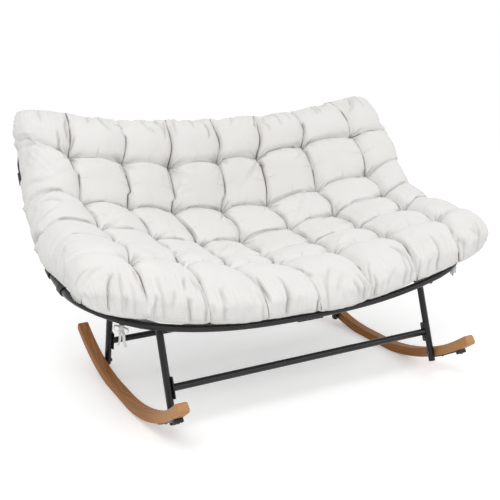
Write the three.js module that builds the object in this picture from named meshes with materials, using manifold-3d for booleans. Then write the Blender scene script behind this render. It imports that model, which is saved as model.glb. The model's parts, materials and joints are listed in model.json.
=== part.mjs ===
// Rocking bench for two: a bent tube hoop and three ribs on four legs, two wooden rockers,
// two stretchers, webbing straps and one tufted cushion.
// Millimetres, +Z up, the bench faces -Y. X runs along the seat.

import * as THREE from 'three';
import { mergeVertices } from 'three/addons/utils/BufferGeometryUtils.js';
import Module from 'manifold-3d';

const wasm = await Module();
wasm.setup();

// General clearances
const seatGap = 0.3;
const cutOverrun = 6;
const tubeCorners = 12;
const boltCorners = 8;

// Tube stock
const tubeRadius = 11;
const tubeWall = 1.5;

// Hoop: the saddle shaped ring that carries the cushion
const hoopFrontHalfWidth = 698;
const hoopBackHalfWidth = 676;
const hoopFrontY = -302;
const hoopFrontLevel = 408;
const hoopBackY = 481;
const hoopBackLevel = 860;
const hoopSeatAngle = 0;
const hoopBackAngle = THREE.MathUtils.degToRad(76);
const hoopBendRadius = 556;
const hoopFrontDip = 121;
const hoopBackDip = 77;
const hoopDipPower = 2.5;
const hoopFrontCorner = 190;
const hoopBackCorner = 180;
const hoopHalfSteps = 56;

// Sleeve inside each hoop joint, the saddle that bridges it and its screws
const sleeveLength = 100;
const saddleLength = 92;
const saddleThickness = 3;
const saddleSeatReach = THREE.MathUtils.degToRad(45);
const saddleOuterReach = THREE.MathUtils.degToRad(95);
const saddleSteps = 12;
const saddleScrewX = 30;
const saddleScrewTurn = THREE.MathUtils.degToRad(60);
const saddleScrewRadius = 2.5;
const saddleScrewHead = 4.5;
const saddleScrewHeadHeight = 2.6;
const saddleScrewReach = 4;
const holeClearance = 0.3;

// Ribs: bent tubes under the seat and up the back
const outerRibX = 475;
const outerRibSeatAngle = THREE.MathUtils.degToRad(-11.3);
const outerRibBackAngle = THREE.MathUtils.degToRad(76);
const centreRibSeatAngle = THREE.MathUtils.degToRad(-4);
const centreRibBackAngle = THREE.MathUtils.degToRad(78);
const ribBendRadius = 350;
const ribBelowHoop = 5;
const ribSteps = 26;

// Legs, welded under the outer ribs
const frontFootY = -332;
const frontFootBelowRocker = 11;
const frontLegTopY = -243;
const rearFootY = 240;
const rearFootBelowRocker = -5;
const rearLegTopY = 176;
const legCapThickness = 3;
const legCapRim = 1.5;

// Stretchers and their bolted flange plates
const frontStretcherZ = 149;
const rearStretcherZ = 113;
const plateLength = 64;
const plateWidth = 24;
const plateThickness = 4;
const plateCorner = 5;
const plateBoltPitch = 44;
const plateBoltRadius = 3;
const plateBoltHead = 5.2;
const plateBoltHeadHeight = 3.2;
const plateBoltReach = 12;

// Rockers: two arcs joined by a straight middle, planed level where the bench rests
const rockerRadius = 728;
const rockerStraight = 80;
const rockerMiddleY = 17.5;
const rockerDepth = 31;
const rockerWidth = 36;
const rockerFrontReach = 536;
const rockerRearReach = 430;
const rockerFacets = 16;
const rockerEdge = 3;
const rockerEndRadius = 6;
const restFlatLength = 210;
const rockerBoltRadius = 4;
const rockerBoltHead = 7;
const rockerBoltHeadHeight = 4;
const rockerBoltReach = 26;

// Anti-tip strip and stop under the front of each rocker
const stripThickness = 3;
const stripWidth = 28;
const stripBehindBolt = 12;
const stripEndInset = 55;
const stripSteps = 6;
const stopLength = 18;
const stopHeight = 9;
const stopEdge = 2;
const stripScrewRadius = 2;
const stripScrewHead = 4;
const stripScrewHeadHeight = 2.2;
const stripScrewReach = 16;
const stripScrewInset = 34;

// Webbing straps across the hoop
const strapCount = 5;
const strapFirst = 240;
const strapPitch = 137;
const strapWidth = 40;
const strapThickness = 2.5;
const strapClearance = 0.8;
const strapStations = 2;
const strapWrapStart = THREE.MathUtils.degToRad(-110);
const strapWrapSteps = 7;
const strapSpanSteps = 10;
const dishPower = 1.6;

// Cushion
const cushionSideOverhang = 30;
const cushionFrontOverhang = 50;
const cushionTopOverhang = 18;
const cushionColumns = 8;
const cushionRows = 6;
const cellsPerColumn = 4;
const cellsPerRow = 3;
const tuftThickness = 90;
const tuftSideExtra = 36;
const puffRise = 44;
const tuftRowShift = 120;
const cushionSquareness = 12;
const cushionRimShare = 0.4;
const edgeCrowdPower = 1.8;
const cushionLift = 1;
const cornerDrawIn = 26;

// Fabric ties round the hoop
const tiePlaces = [
  { name: 'front', hoopShare: 0.265, away: new THREE.Vector3(0, 0, -1) },
  { name: 'back', hoopShare: 0.715, away: new THREE.Vector3(0, 1, 0) },
];
const tieWidth = 12;
const tieThickness = 1.2;
const tieCorners = 12;
const tieKnotRadius = 8;
const tieTailLength = 62;
const tieTailSpread = THREE.MathUtils.degToRad(9);

const xAxis = new THREE.Vector3(1, 0, 0);

// Materials
function steelPaint() {
  return new THREE.MeshStandardMaterial({ color: 0x17171a, roughness: 0.38, metalness: 0.55 });
}

function rockerWood() {
  return new THREE.MeshStandardMaterial({ color: 0xa0703f, roughness: 0.5, metalness: 0 });
}

function blackPlastic() {
  return new THREE.MeshStandardMaterial({ color: 0x141414, roughness: 0.6, metalness: 0 });
}

function blackRubber() {
  return new THREE.MeshStandardMaterial({ color: 0x1b1b1b, roughness: 0.85, metalness: 0 });
}

function webbing() {
  return new THREE.MeshStandardMaterial({ color: 0x202022, roughness: 0.9, metalness: 0 });
}

function cushionFabric() {
  return new THREE.MeshStandardMaterial({ color: 0xe8e6e1, roughness: 0.85, metalness: 0 });
}

// Solids and booleans
function toSolid(geometry) {
  const bare = geometry.clone();
  bare.deleteAttribute('normal');
  bare.deleteAttribute('uv');
  const merged = mergeVertices(bare);
  return new wasm.Manifold(new wasm.Mesh({
    numProp: 3,
    vertProperties: merged.attributes.position.array,
    triVerts: new Uint32Array(merged.index.array),
  }));
}

function toGeometry(solid) {
  const mesh = solid.getMesh();
  const geometry = new THREE.BufferGeometry();
  geometry.setAttribute('position', new THREE.Float32BufferAttribute(mesh.vertProperties, 3));
  geometry.setIndex(Array.from(mesh.triVerts));
  geometry.computeVertexNormals();
  return geometry;
}

function cut(geometry, tools) {
  let solid = toSolid(geometry);
  for (const tool of tools) {
    solid = solid.subtract(toSolid(tool));
  }
  return toGeometry(solid);
}

function join(pieces) {
  let solid = toSolid(pieces[0]);
  for (const piece of pieces.slice(1)) {
    solid = solid.add(toSolid(piece));
  }
  return toGeometry(solid);
}

// A closed geometry of revolution about +Y, its profile running from the axis and back to it
function turned(profile, corners) {
  const points = profile.map(([radius, height]) => new THREE.Vector2(radius, height));
  return new THREE.LatheGeometry(points, corners);
}

// Turns a geometry made along +Y to lie along a direction from a start point
function alongDirection(geometry, start, direction) {
  const turn = new THREE.Quaternion().setFromUnitVectors(new THREE.Vector3(0, 1, 0), direction);
  geometry.applyQuaternion(turn);
  geometry.translate(start.x, start.y, start.z);
  return geometry;
}

function rod(start, end, radius, corners = tubeCorners) {
  const length = start.distanceTo(end);
  const direction = end.clone().sub(start).normalize();
  const profile = [[0, 0], [radius, 0], [radius, length], [0, length]];
  return alongDirection(turned(profile, corners), start, direction);
}

// A button head bolt: its head's underside is at the seat and its shank runs the other way
function bolt(seat, outward, shankRadius, shankLength, headRadius, headHeight) {
  const profile = [
    [0, -shankLength],
    [shankRadius, -shankLength],
    [shankRadius, 0],
    [headRadius, 0],
    [headRadius, headHeight / 3],
    [headRadius / 2, headHeight],
    [0, headHeight],
  ];
  return alongDirection(turned(profile, boltCorners), seat, outward);
}

function circleShape(radius) {
  const shape = new THREE.Shape();
  shape.absarc(0, 0, radius, 0, Math.PI * 2);
  return shape;
}

function tubeAlong(points, radius, steps) {
  const path = new THREE.CatmullRomCurve3(points, false, 'centripetal');
  return new THREE.ExtrudeGeometry(circleShape(radius), {
    extrudePath: path,
    steps,
    curveSegments: tubeCorners / 2,
    bevelEnabled: false,
  });
}

// A profile in the YZ plane: a straight seat, one bend and a straight back
function bentProfile(front, seatAngle, top, backAngle, radius) {
  const seatDir = new THREE.Vector2(Math.cos(seatAngle), Math.sin(seatAngle));
  const backDir = new THREE.Vector2(Math.cos(backAngle), Math.sin(backAngle));
  const across = top.clone().sub(front);
  const seatRun = (across.x * backDir.y - across.y * backDir.x) / seatDir.cross(backDir);
  const corner = front.clone().addScaledVector(seatDir, seatRun);
  const backRun = corner.distanceTo(top);
  const turn = backAngle - seatAngle;
  const tangent = radius * Math.tan(turn / 2);
  const bendStart = corner.clone().addScaledVector(seatDir, -tangent);
  const bendEnd = corner.clone().addScaledVector(backDir, tangent);
  const centre = bendStart.clone().add(new THREE.Vector2(-seatDir.y, seatDir.x).multiplyScalar(radius));
  const seatLength = seatRun - tangent;
  const bendLength = radius * turn;
  const length = seatLength + bendLength + backRun - tangent;
  function at(s) {
    if (s <= seatLength) {
      return { point: front.clone().addScaledVector(seatDir, s), dir: seatDir.clone() };
    }
    if (s <= seatLength + bendLength) {
      const angle = seatAngle + (s - seatLength) / radius;
      const dir = new THREE.Vector2(Math.cos(angle), Math.sin(angle));
      const point = centre.clone().add(new THREE.Vector2(dir.y, -dir.x).multiplyScalar(radius));
      return { point, dir };
    }
    const rest = s - seatLength - bendLength;
    return { point: bendEnd.clone().addScaledVector(backDir, rest), dir: backDir.clone() };
  }
  return { at, length };
}

const sideProfile = bentProfile(
  new THREE.Vector2(hoopFrontY, hoopFrontLevel),
  hoopSeatAngle,
  new THREE.Vector2(hoopBackY, hoopBackLevel),
  hoopBackAngle,
  hoopBendRadius,
);

function halfWidthAt(s) {
  return THREE.MathUtils.lerp(hoopFrontHalfWidth, hoopBackHalfWidth, s / sideProfile.length);
}

// How far out a place lies: 0 on the middle line of the bench, 1 on the hoop's side
function sideShare(x, s) {
  return Math.min(1, Math.abs(x) / halfWidthAt(s));
}

function hoopDip(x, s) {
  const depth = THREE.MathUtils.lerp(hoopFrontDip, hoopBackDip, s / sideProfile.length);
  return depth * (1 - Math.pow(sideShare(x, s), hoopDipPower));
}

function hoopPoint(x, s) {
  const { point } = sideProfile.at(s);
  return new THREE.Vector3(x, point.x, point.y - hoopDip(x, s));
}

// Hoop
function hoopHalfPoints(side) {
  const length = sideProfile.length;
  const outline = new THREE.Path();
  outline.moveTo(seatGap / 2, 0);
  const width = hoopFrontHalfWidth;
  outline.lineTo(width - hoopFrontCorner, 0);
  outline.absarc(width - hoopFrontCorner, hoopFrontCorner, hoopFrontCorner, -Math.PI / 2, 0);
  outline.lineTo(width, length - hoopBackCorner);
  outline.absarc(width - hoopBackCorner, length - hoopBackCorner, hoopBackCorner, 0, Math.PI / 2);
  outline.lineTo(seatGap / 2, length);
  return outline.getSpacedPoints(hoopHalfSteps).map((p) => {
    return hoopPoint((side * p.x * halfWidthAt(p.y)) / width, p.y);
  });
}

function hoopTube(side, radius) {
  return tubeAlong(hoopHalfPoints(side), radius, hoopHalfSteps);
}

const boreRadius = tubeRadius - tubeWall;
const sleeveRadius = boreRadius - seatGap;

// Radius of a faceted tube whose flats clear a neighbouring tube by the seat gap
const tubeRoom = (tubeRadius + seatGap) / Math.cos(Math.PI / tubeCorners);

function offsetX(point, x) {
  return new THREE.Vector3(point.x + x, point.y, point.z);
}

function yzDirection(angle) {
  return new THREE.Vector3(0, Math.cos(angle), Math.sin(angle));
}

// The two hoop joints, each with the direction in which its rib leaves
const joints = [
  { name: 'front', centre: hoopPoint(0, 0), ribAngle: centreRibSeatAngle, turn: -1 },
  { name: 'back', centre: hoopPoint(0, sideProfile.length), ribAngle: centreRibBackAngle - Math.PI, turn: 1 },
];

function jointScrewDirection(joint) {
  return yzDirection(joint.ribAngle + joint.turn * saddleScrewTurn);
}

function jointScrewHole(joint, side, radius) {
  const middle = offsetX(joint.centre, side * saddleScrewX);
  const outward = jointScrewDirection(joint);
  const start = middle.clone().addScaledVector(outward, boreRadius - saddleScrewReach - seatGap);
  const end = middle.clone().addScaledVector(outward, tubeRadius + saddleThickness + cutOverrun);
  return rod(start, end, radius, boltCorners);
}

function makeHoopHalf(side) {
  const tools = [];
  for (const joint of joints) {
    const boreEnd = offsetX(joint.centre, side * (sleeveLength / 2 + seatGap));
    tools.push(rod(offsetX(joint.centre, -side * cutOverrun), boreEnd, boreRadius));
    tools.push(jointScrewHole(joint, side, saddleScrewRadius + holeClearance));
  }
  return cut(hoopTube(side, tubeRadius), tools);
}

function makeSleeve(joint) {
  const half = sleeveLength / 2 - seatGap;
  const sleeve = rod(offsetX(joint.centre, -half), offsetX(joint.centre, half), sleeveRadius);
  const holes = [-1, 1].map((side) => jointScrewHole(joint, side, saddleScrewRadius + holeClearance));
  return cut(sleeve, holes);
}

function makeSaddle(joint) {
  const inner = tubeRadius + seatGap;
  const outer = inner + saddleThickness;
  const towardsSeat = joint.ribAngle - joint.turn * saddleSeatReach;
  const awayFromSeat = joint.ribAngle + joint.turn * saddleOuterReach;
  const from = Math.min(towardsSeat, awayFromSeat);
  const to = Math.max(towardsSeat, awayFromSeat);
  const shape = new THREE.Shape();
  shape.absarc(0, 0, outer, from, to, false);
  shape.absarc(0, 0, inner, to, from, true);
  shape.closePath();
  const geometry = new THREE.ExtrudeGeometry(shape, {
    depth: saddleLength,
    bevelEnabled: false,
    curveSegments: saddleSteps / 2,
  });
  geometry.translate(0, 0, -saddleLength / 2);
  fromSideView(geometry);
  geometry.translate(joint.centre.x, joint.centre.y, joint.centre.z);
  const holes = [-1, 1].map((side) => jointScrewHole(joint, side, saddleScrewRadius + holeClearance));
  return cut(geometry, holes);
}

function makeSaddleScrew(joint, side) {
  const outward = jointScrewDirection(joint);
  const saddleFace = tubeRadius + seatGap + saddleThickness + seatGap;
  const seat = offsetX(joint.centre, side * saddleScrewX).addScaledVector(outward, saddleFace);
  const shank = saddleFace - boreRadius + saddleScrewReach - seatGap;
  return bolt(seat, outward, saddleScrewRadius, shank, saddleScrewHead, saddleScrewHeadHeight);
}

// Moves a shape drawn as (y, z) and extruded along +Z so that it lies as drawn, extruded along X
function fromSideView(geometry) {
  const y = new THREE.Vector3(0, 1, 0);
  const z = new THREE.Vector3(0, 0, 1);
  geometry.applyMatrix4(new THREE.Matrix4().makeBasis(y, z, xAxis));
  return geometry;
}

// Ribs
const crossingPasses = 5;

// Where a plane across the bench cuts the hoop's front or back bar, also in its corners
function hoopCrossing(x, end, corner) {
  let inset = 0;
  for (let pass = 0; pass < crossingPasses; pass += 1) {
    const halfWidth = halfWidthAt(Math.abs(end - inset));
    const over = (Math.abs(x) * hoopFrontHalfWidth) / halfWidth - hoopFrontHalfWidth + corner;
    inset = over > 0 ? corner - Math.sqrt(Math.max(0, corner * corner - over * over)) : 0;
  }
  return hoopPoint(x, Math.abs(end - inset));
}

function ribProfile(x, seatAngle, backAngle) {
  const front = hoopCrossing(x, 0, hoopFrontCorner);
  const top = hoopCrossing(x, sideProfile.length, hoopBackCorner);
  return bentProfile(
    new THREE.Vector2(front.y, front.z - ribBelowHoop),
    seatAngle,
    new THREE.Vector2(top.y, top.z),
    backAngle,
    ribBendRadius,
  );
}

const outerRib = ribProfile(outerRibX, outerRibSeatAngle, outerRibBackAngle);
const centreRib = ribProfile(0, centreRibSeatAngle, centreRibBackAngle);

function ribTube(profile, x, radius) {
  const points = [];
  for (let i = 0; i <= ribSteps; i += 1) {
    const { point } = profile.at((profile.length * i) / ribSteps);
    points.push(new THREE.Vector3(x, point.x, point.y));
  }
  return tubeAlong(points, radius, ribSteps);
}

function makeOuterRib(side) {
  const hoopRoom = hoopTube(side, tubeRoom);
  return cut(ribTube(outerRib, side * outerRibX, tubeRadius), [hoopRoom]);
}

function makeCentreRib() {
  const room = tubeRadius + seatGap + saddleThickness + seatGap;
  const tools = joints.map((joint) => rod(
    offsetX(joint.centre, -saddleLength),
    offsetX(joint.centre, saddleLength),
    room,
    tubeCorners * 2,
  ));
  return cut(ribTube(centreRib, 0, tubeRadius), tools);
}

// Height of a rib's centreline at a given Y, on its way down the seat and up the bend
function ribHeightAt(profile, y) {
  let low = 0;
  let high = profile.length;
  while (high - low > seatGap / 100) {
    const middle = (low + high) / 2;
    if (profile.at(middle).point.x < y) {
      low = middle;
    } else {
      high = middle;
    }
  }
  return profile.at(low).point.y;
}

// How far the planed rest flat lies above the unplaned underside's middle
const planedHalf = (restFlatLength - rockerStraight) / 2;
const restFlatRise = rockerRadius - Math.sqrt(rockerRadius * rockerRadius - planedHalf * planedHalf);

// A point on the arc towards one end, front -1 or rear 1, at an angle from straight down
function rockerPoint(end, radius, angle) {
  const y = rockerMiddleY + end * (rockerStraight / 2 + radius * Math.sin(angle));
  return new THREE.Vector2(y, rockerRadius - restFlatRise - radius * Math.cos(angle));
}

// Height of a rocker's curved underside above the floor
function rockerUnderside(y) {
  const reach = Math.max(Math.abs(y - rockerMiddleY) - rockerStraight / 2, 0);
  return rockerRadius - restFlatRise - Math.sqrt(rockerRadius * rockerRadius - reach * reach);
}

// Legs
const legs = [
  {
    name: 'front',
    end: -1,
    foot: new THREE.Vector2(frontFootY, rockerUnderside(frontFootY) - frontFootBelowRocker),
    top: new THREE.Vector2(frontLegTopY, ribHeightAt(outerRib, frontLegTopY)),
    stretcherZ: frontStretcherZ,
  },
  {
    name: 'rear',
    end: 1,
    foot: new THREE.Vector2(rearFootY, rockerUnderside(rearFootY) - rearFootBelowRocker),
    top: new THREE.Vector2(rearLegTopY, ribHeightAt(outerRib, rearLegTopY)),
    stretcherZ: rearStretcherZ,
  },
];

function legDirection(leg) {
  return leg.top.clone().sub(leg.foot).normalize();
}

// A point on the leg's axis at a height above the floor, or at a distance along it from the foot
function legPointAtHeight(leg, z) {
  const dir = legDirection(leg);
  return leg.foot.clone().addScaledVector(dir, (z - leg.foot.y) / dir.y);
}

function legPoint(leg, side, distance) {
  const point = leg.foot.clone().addScaledVector(legDirection(leg), distance);
  return new THREE.Vector3(side * outerRibX, point.x, point.y);
}

function stretcherDistance(leg) {
  return legPointAtHeight(leg, leg.stretcherZ).distanceTo(leg.foot);
}

// How far up a leg its axis meets the middle of the rocker's depth, where the rocker bolt goes
function boltDistance(leg) {
  const dir = legDirection(leg);
  const fromCentre = leg.foot.clone().sub(rockerPoint(leg.end, 0, 0));
  const radius = rockerRadius - rockerDepth / 2;
  const along = fromCentre.dot(dir);
  return -along - Math.sqrt(along * along - fromCentre.lengthSq() + radius * radius);
}

function crossHole(centre, radius) {
  const reach = tubeRadius + cutOverrun;
  return rod(offsetX(centre, -reach), offsetX(centre, reach), radius, boltCorners);
}

function plateBoltCentres(leg, side) {
  const middle = stretcherDistance(leg);
  return [-1, 1].map((end) => legPoint(leg, side, middle + (end * plateBoltPitch) / 2));
}

// A one-sided hole into a leg's inner wall, for a plate bolt
function plateBoltHole(centre, side) {
  const inner = offsetX(centre, -side * (tubeRadius + cutOverrun));
  const end = offsetX(centre, -side * (tubeRadius - plateBoltReach - seatGap));
  return rod(inner, end, plateBoltRadius + holeClearance, boltCorners);
}

function makeLeg(leg, side) {
  const length = leg.top.distanceTo(leg.foot);
  const tube = rod(legPoint(leg, side, 0), legPoint(leg, side, length), tubeRadius);
  const tools = [
    ribTube(outerRib, side * outerRibX, tubeRoom),
    crossHole(legPoint(leg, side, boltDistance(leg)), rockerBoltRadius + holeClearance),
  ];
  for (const centre of plateBoltCentres(leg, side)) {
    tools.push(plateBoltHole(centre, side));
  }
  return cut(tube, tools);
}

function makeLegCap(leg, side) {
  const dir = legDirection(leg);
  const outward = new THREE.Vector3(0, -dir.x, -dir.y);
  const start = legPoint(leg, side, -seatGap);
  const profile = [
    [0, 0],
    [tubeRadius, 0],
    [tubeRadius, legCapThickness - legCapRim],
    [tubeRadius - legCapRim, legCapThickness],
    [0, legCapThickness],
  ];
  return alongDirection(turned(profile, tubeCorners), start, outward);
}

// Stretchers and flange plates
const plateInnerX = outerRibX - tubeRadius - seatGap;
const plateOuterX = plateInnerX - plateThickness;

function makeStretcher(leg) {
  const point = legPoint(leg, 1, stretcherDistance(leg));
  const half = plateOuterX - seatGap;
  return rod(
    new THREE.Vector3(-half, point.y, point.z),
    new THREE.Vector3(half, point.y, point.z),
    tubeRadius,
  );
}

function plateShape() {
  const halfW = plateWidth / 2;
  const halfL = plateLength / 2;
  const shape = new THREE.Shape();
  shape.moveTo(-halfW + plateCorner, -halfL);
  shape.lineTo(halfW - plateCorner, -halfL);
  shape.absarc(halfW - plateCorner, -halfL + plateCorner, plateCorner, -Math.PI / 2, 0);
  shape.lineTo(halfW, halfL - plateCorner);
  shape.absarc(halfW - plateCorner, halfL - plateCorner, plateCorner, 0, Math.PI / 2);
  shape.lineTo(-halfW + plateCorner, halfL);
  shape.absarc(-halfW + plateCorner, halfL - plateCorner, plateCorner, Math.PI / 2, Math.PI);
  shape.lineTo(-halfW, -halfL + plateCorner);
  shape.absarc(-halfW + plateCorner, -halfL + plateCorner, plateCorner, Math.PI, Math.PI * 1.5);
  for (const end of [-1, 1]) {
    const hole = new THREE.Path();
    hole.absarc(0, (end * plateBoltPitch) / 2, plateBoltRadius + holeClearance, 0, Math.PI * 2);
    shape.holes.push(hole);
  }
  return shape;
}

function makePlate(leg, side) {
  const geometry = new THREE.ExtrudeGeometry(plateShape(), {
    depth: plateThickness,
    bevelEnabled: false,
    curveSegments: boltCorners / 2,
  });
  geometry.translate(0, 0, -plateThickness / 2);
  const dir = legDirection(leg);
  const up = new THREE.Vector3(0, dir.x, dir.y);
  const across = new THREE.Vector3().crossVectors(up, xAxis);
  geometry.applyMatrix4(new THREE.Matrix4().makeBasis(across, up, xAxis));
  const centre = legPoint(leg, side, stretcherDistance(leg));
  geometry.translate(side * (plateInnerX - plateThickness / 2), centre.y, centre.z);
  return geometry;
}

function makePlateBolt(centre, side) {
  const outward = new THREE.Vector3(-side, 0, 0);
  const seat = new THREE.Vector3(side * (plateOuterX - seatGap), centre.y, centre.z);
  const shank = plateThickness + 2 * seatGap + plateBoltReach;
  return bolt(seat, outward, plateBoltRadius, shank, plateBoltHead, plateBoltHeadHeight);
}

// Rockers
const rockerInnerX = outerRibX + tubeRadius + seatGap;
const rockerCentreX = rockerInnerX + rockerWidth / 2;

// Facets lie outside the true arc and touch it at their middles
function arcPoints(end, radius, from, to, count) {
  const step = (to - from) / count;
  const points = [];
  for (let i = 0; i <= count; i += 1) {
    const last = i === 0 || i === count;
    const reach = last ? radius : radius / Math.cos(step / 2);
    points.push(rockerPoint(end, reach, from + step * i));
  }
  return points;
}

const rockerFrontAngle = (rockerFrontReach - rockerStraight / 2) / rockerRadius;
const rockerRearAngle = (rockerRearReach - rockerStraight / 2) / rockerRadius;

// One side of a rocker's outline, from its front end to its rear end
function rockerSide(radius) {
  const inset = rockerEndRadius / rockerRadius;
  return [
    ...arcPoints(-1, radius, rockerFrontAngle - inset, 0, rockerFacets),
    ...arcPoints(1, radius, 0, rockerRearAngle - inset, rockerFacets),
  ];
}

function rockerShape() {
  const innerRadius = rockerRadius - rockerDepth;
  const flatHalf = restFlatLength / 2;
  const underside = rockerSide(rockerRadius).filter((p) => p.y > 0);
  underside.push(new THREE.Vector2(rockerMiddleY - flatHalf, 0));
  underside.push(new THREE.Vector2(rockerMiddleY + flatHalf, 0));
  underside.sort((a, b) => a.x - b.x);
  const upper = rockerSide(innerRadius).reverse();
  const rearEnd = [
    rockerPoint(1, rockerRadius - rockerEndRadius, rockerRearAngle),
    rockerPoint(1, innerRadius + rockerEndRadius, rockerRearAngle),
  ];
  const frontEnd = [
    rockerPoint(-1, innerRadius + rockerEndRadius, rockerFrontAngle),
    rockerPoint(-1, rockerRadius - rockerEndRadius, rockerFrontAngle),
  ];
  return new THREE.Shape([...underside, ...rearEnd, ...upper, ...frontEnd]);
}

function rockerBoltHole(leg, side) {
  const centre = legPoint(leg, side, boltDistance(leg));
  const start = offsetX(centre, side * (tubeRadius - cutOverrun));
  const end = offsetX(centre, side * (tubeRadius + seatGap + rockerBoltReach + seatGap));
  return rod(start, end, rockerBoltRadius + holeClearance, boltCorners);
}

// The strip runs from just behind the front leg's bolt to the stop near the rocker's end
const frontBolt = legPoint(legs[0], 1, boltDistance(legs[0]));
const frontCentre = rockerPoint(-1, 0, 0);
const frontBoltAngle = Math.atan2(frontCentre.x - frontBolt.y, frontCentre.y - frontBolt.z);
const stripStartAngle = frontBoltAngle - stripBehindBolt / rockerRadius;
const stripEndAngle = rockerFrontAngle - stripEndInset / rockerRadius;

function stripScrewAngles() {
  const inset = stripScrewInset / rockerRadius;
  const stopInset = stopLength / 2 / rockerRadius;
  return [stripStartAngle + inset, stripEndAngle - stopInset];
}

// The screw at the strip's front end also holds the stop
function stripScrewSeatRadius(index) {
  const strip = rockerRadius + seatGap + stripThickness + seatGap;
  return index === 0 ? strip : strip + stopHeight + seatGap;
}

function stripScrewHole(side, index, radius) {
  const angle = stripScrewAngles()[index];
  const inner = rockerPoint(-1, rockerRadius - stripScrewReach - seatGap, angle);
  const outer = rockerPoint(-1, stripScrewSeatRadius(index) + cutOverrun, angle);
  return rod(
    new THREE.Vector3(side * rockerCentreX, inner.x, inner.y),
    new THREE.Vector3(side * rockerCentreX, outer.x, outer.y),
    radius,
    boltCorners,
  );
}

function makeRocker(side) {
  const geometry = new THREE.ExtrudeGeometry(rockerShape(), {
    depth: rockerWidth - 2 * rockerEdge,
    bevelEnabled: true,
    bevelThickness: rockerEdge,
    bevelSize: rockerEdge,
    bevelOffset: -rockerEdge,
    bevelSegments: 1,
  });
  geometry.translate(0, 0, rockerEdge - rockerWidth / 2);
  fromSideView(geometry);
  geometry.translate(side * rockerCentreX, 0, 0);
  const tools = legs.map((leg) => rockerBoltHole(leg, side));
  for (const index of [0, 1]) {
    tools.push(stripScrewHole(side, index, stripScrewRadius + holeClearance));
  }
  return cut(geometry, tools);
}

function makeRockerBolt(leg, side) {
  const outward = new THREE.Vector3(-side, 0, 0);
  const centre = legPoint(leg, side, boltDistance(leg));
  const seat = offsetX(centre, -side * (tubeRadius + seatGap));
  const shank = 2 * tubeRadius + 2 * seatGap + rockerBoltReach;
  return bolt(seat, outward, rockerBoltRadius, shank, rockerBoltHead, rockerBoltHeadHeight);
}

// Anti-tip strip, stop and screws
function makeStrip(side) {
  const inner = rockerRadius + seatGap;
  const outer = inner + stripThickness;
  const points = [
    ...arcPoints(-1, inner, stripEndAngle, stripStartAngle, stripSteps),
    ...arcPoints(-1, outer, stripStartAngle, stripEndAngle, stripSteps),
  ];
  const geometry = new THREE.ExtrudeGeometry(new THREE.Shape(points), {
    depth: stripWidth,
    bevelEnabled: false,
  });
  geometry.translate(0, 0, -stripWidth / 2);
  fromSideView(geometry);
  geometry.translate(side * rockerCentreX, 0, 0);
  const holes = [0, 1].map((i) => stripScrewHole(side, i, stripScrewRadius + holeClearance));
  return cut(geometry, holes);
}

function makeStop(side) {
  const half = stopLength / 2;
  const shape = new THREE.Shape([
    new THREE.Vector2(-half, 0),
    new THREE.Vector2(-half, -stopHeight + stopEdge),
    new THREE.Vector2(-half + stopEdge, -stopHeight),
    new THREE.Vector2(half - stopEdge, -stopHeight),
    new THREE.Vector2(half, -stopHeight + stopEdge),
    new THREE.Vector2(half, 0),
  ]);
  const geometry = new THREE.ExtrudeGeometry(shape, { depth: stripWidth, bevelEnabled: false });
  geometry.translate(0, 0, -stripWidth / 2);
  fromSideView(geometry);
  const angle = stripScrewAngles()[1];
  geometry.rotateX(-angle);
  const radius = rockerRadius + seatGap + stripThickness + seatGap;
  const seat = rockerPoint(-1, radius / Math.cos(half / radius), angle);
  geometry.translate(side * rockerCentreX, seat.x, seat.y);
  return cut(geometry, [stripScrewHole(side, 1, stripScrewRadius + holeClearance)]);
}

function makeStripScrew(side, index) {
  const angle = stripScrewAngles()[index];
  const seatRadius = stripScrewSeatRadius(index) + seatGap;
  const seat = rockerPoint(-1, seatRadius, angle);
  const outward = new THREE.Vector3(0, -Math.sin(angle), -Math.cos(angle));
  const shank = seatRadius - rockerRadius + stripScrewReach;
  const start = new THREE.Vector3(side * rockerCentreX, seat.x, seat.y);
  return bolt(start, outward, stripScrewRadius, shank, stripScrewHead, stripScrewHeadHeight);
}

// Where the normal of the side profile meets the centre rib: how deep, and how slanted the rib is there
function ribCrossing(s) {
  const { point, dir } = sideProfile.at(s);
  let low = 0;
  let high = centreRib.length;
  while (high - low > seatGap / 100) {
    const middle = (low + high) / 2;
    if (centreRib.at(middle).point.sub(point).dot(dir) < 0) {
      low = middle;
    } else {
      high = middle;
    }
  }
  const rib = centreRib.at(low);
  return { depth: rib.point.distanceTo(point), slant: rib.dir.dot(dir) };
}

const wrapRadius = tubeRadius + strapClearance + strapThickness / 2;

// Height over the side profile of what lies on the hoop and sags to the centre rib
function seatHeight(x, s, clearance) {
  const { depth, slant } = ribCrossing(s);
  const sag = 1 - Math.pow(sideShare(x, s), dishPower);
  return clearance * (1 - sag + sag / slant) - depth * sag;
}

function strapLine(s) {
  const halfWidth = halfWidthAt(s);
  const slope = (ribCrossing(s).depth * dishPower) / halfWidth;
  const wrapEnd = Math.PI / 2 + Math.atan(slope);
  const right = [];
  for (let i = 0; i <= strapWrapSteps; i += 1) {
    const angle = THREE.MathUtils.lerp(strapWrapStart, wrapEnd, i / strapWrapSteps);
    const reach = wrapRadius / Math.cos((wrapEnd - strapWrapStart) / strapWrapSteps / 2);
    const x = halfWidth + reach * Math.cos(angle);
    right.push(new THREE.Vector2(x, reach * Math.sin(angle)));
  }
  const left = right.map((p) => new THREE.Vector2(-p.x, p.y)).reverse();
  const span = [];
  for (let i = strapSpanSteps - 1; i > -strapSpanSteps; i -= 1) {
    const x = ((halfWidth - wrapRadius) * i) / strapSpanSteps;
    span.push(new THREE.Vector2(x, seatHeight(x, s, wrapRadius)));
  }
  return [...right, ...span, ...left];
}

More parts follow.
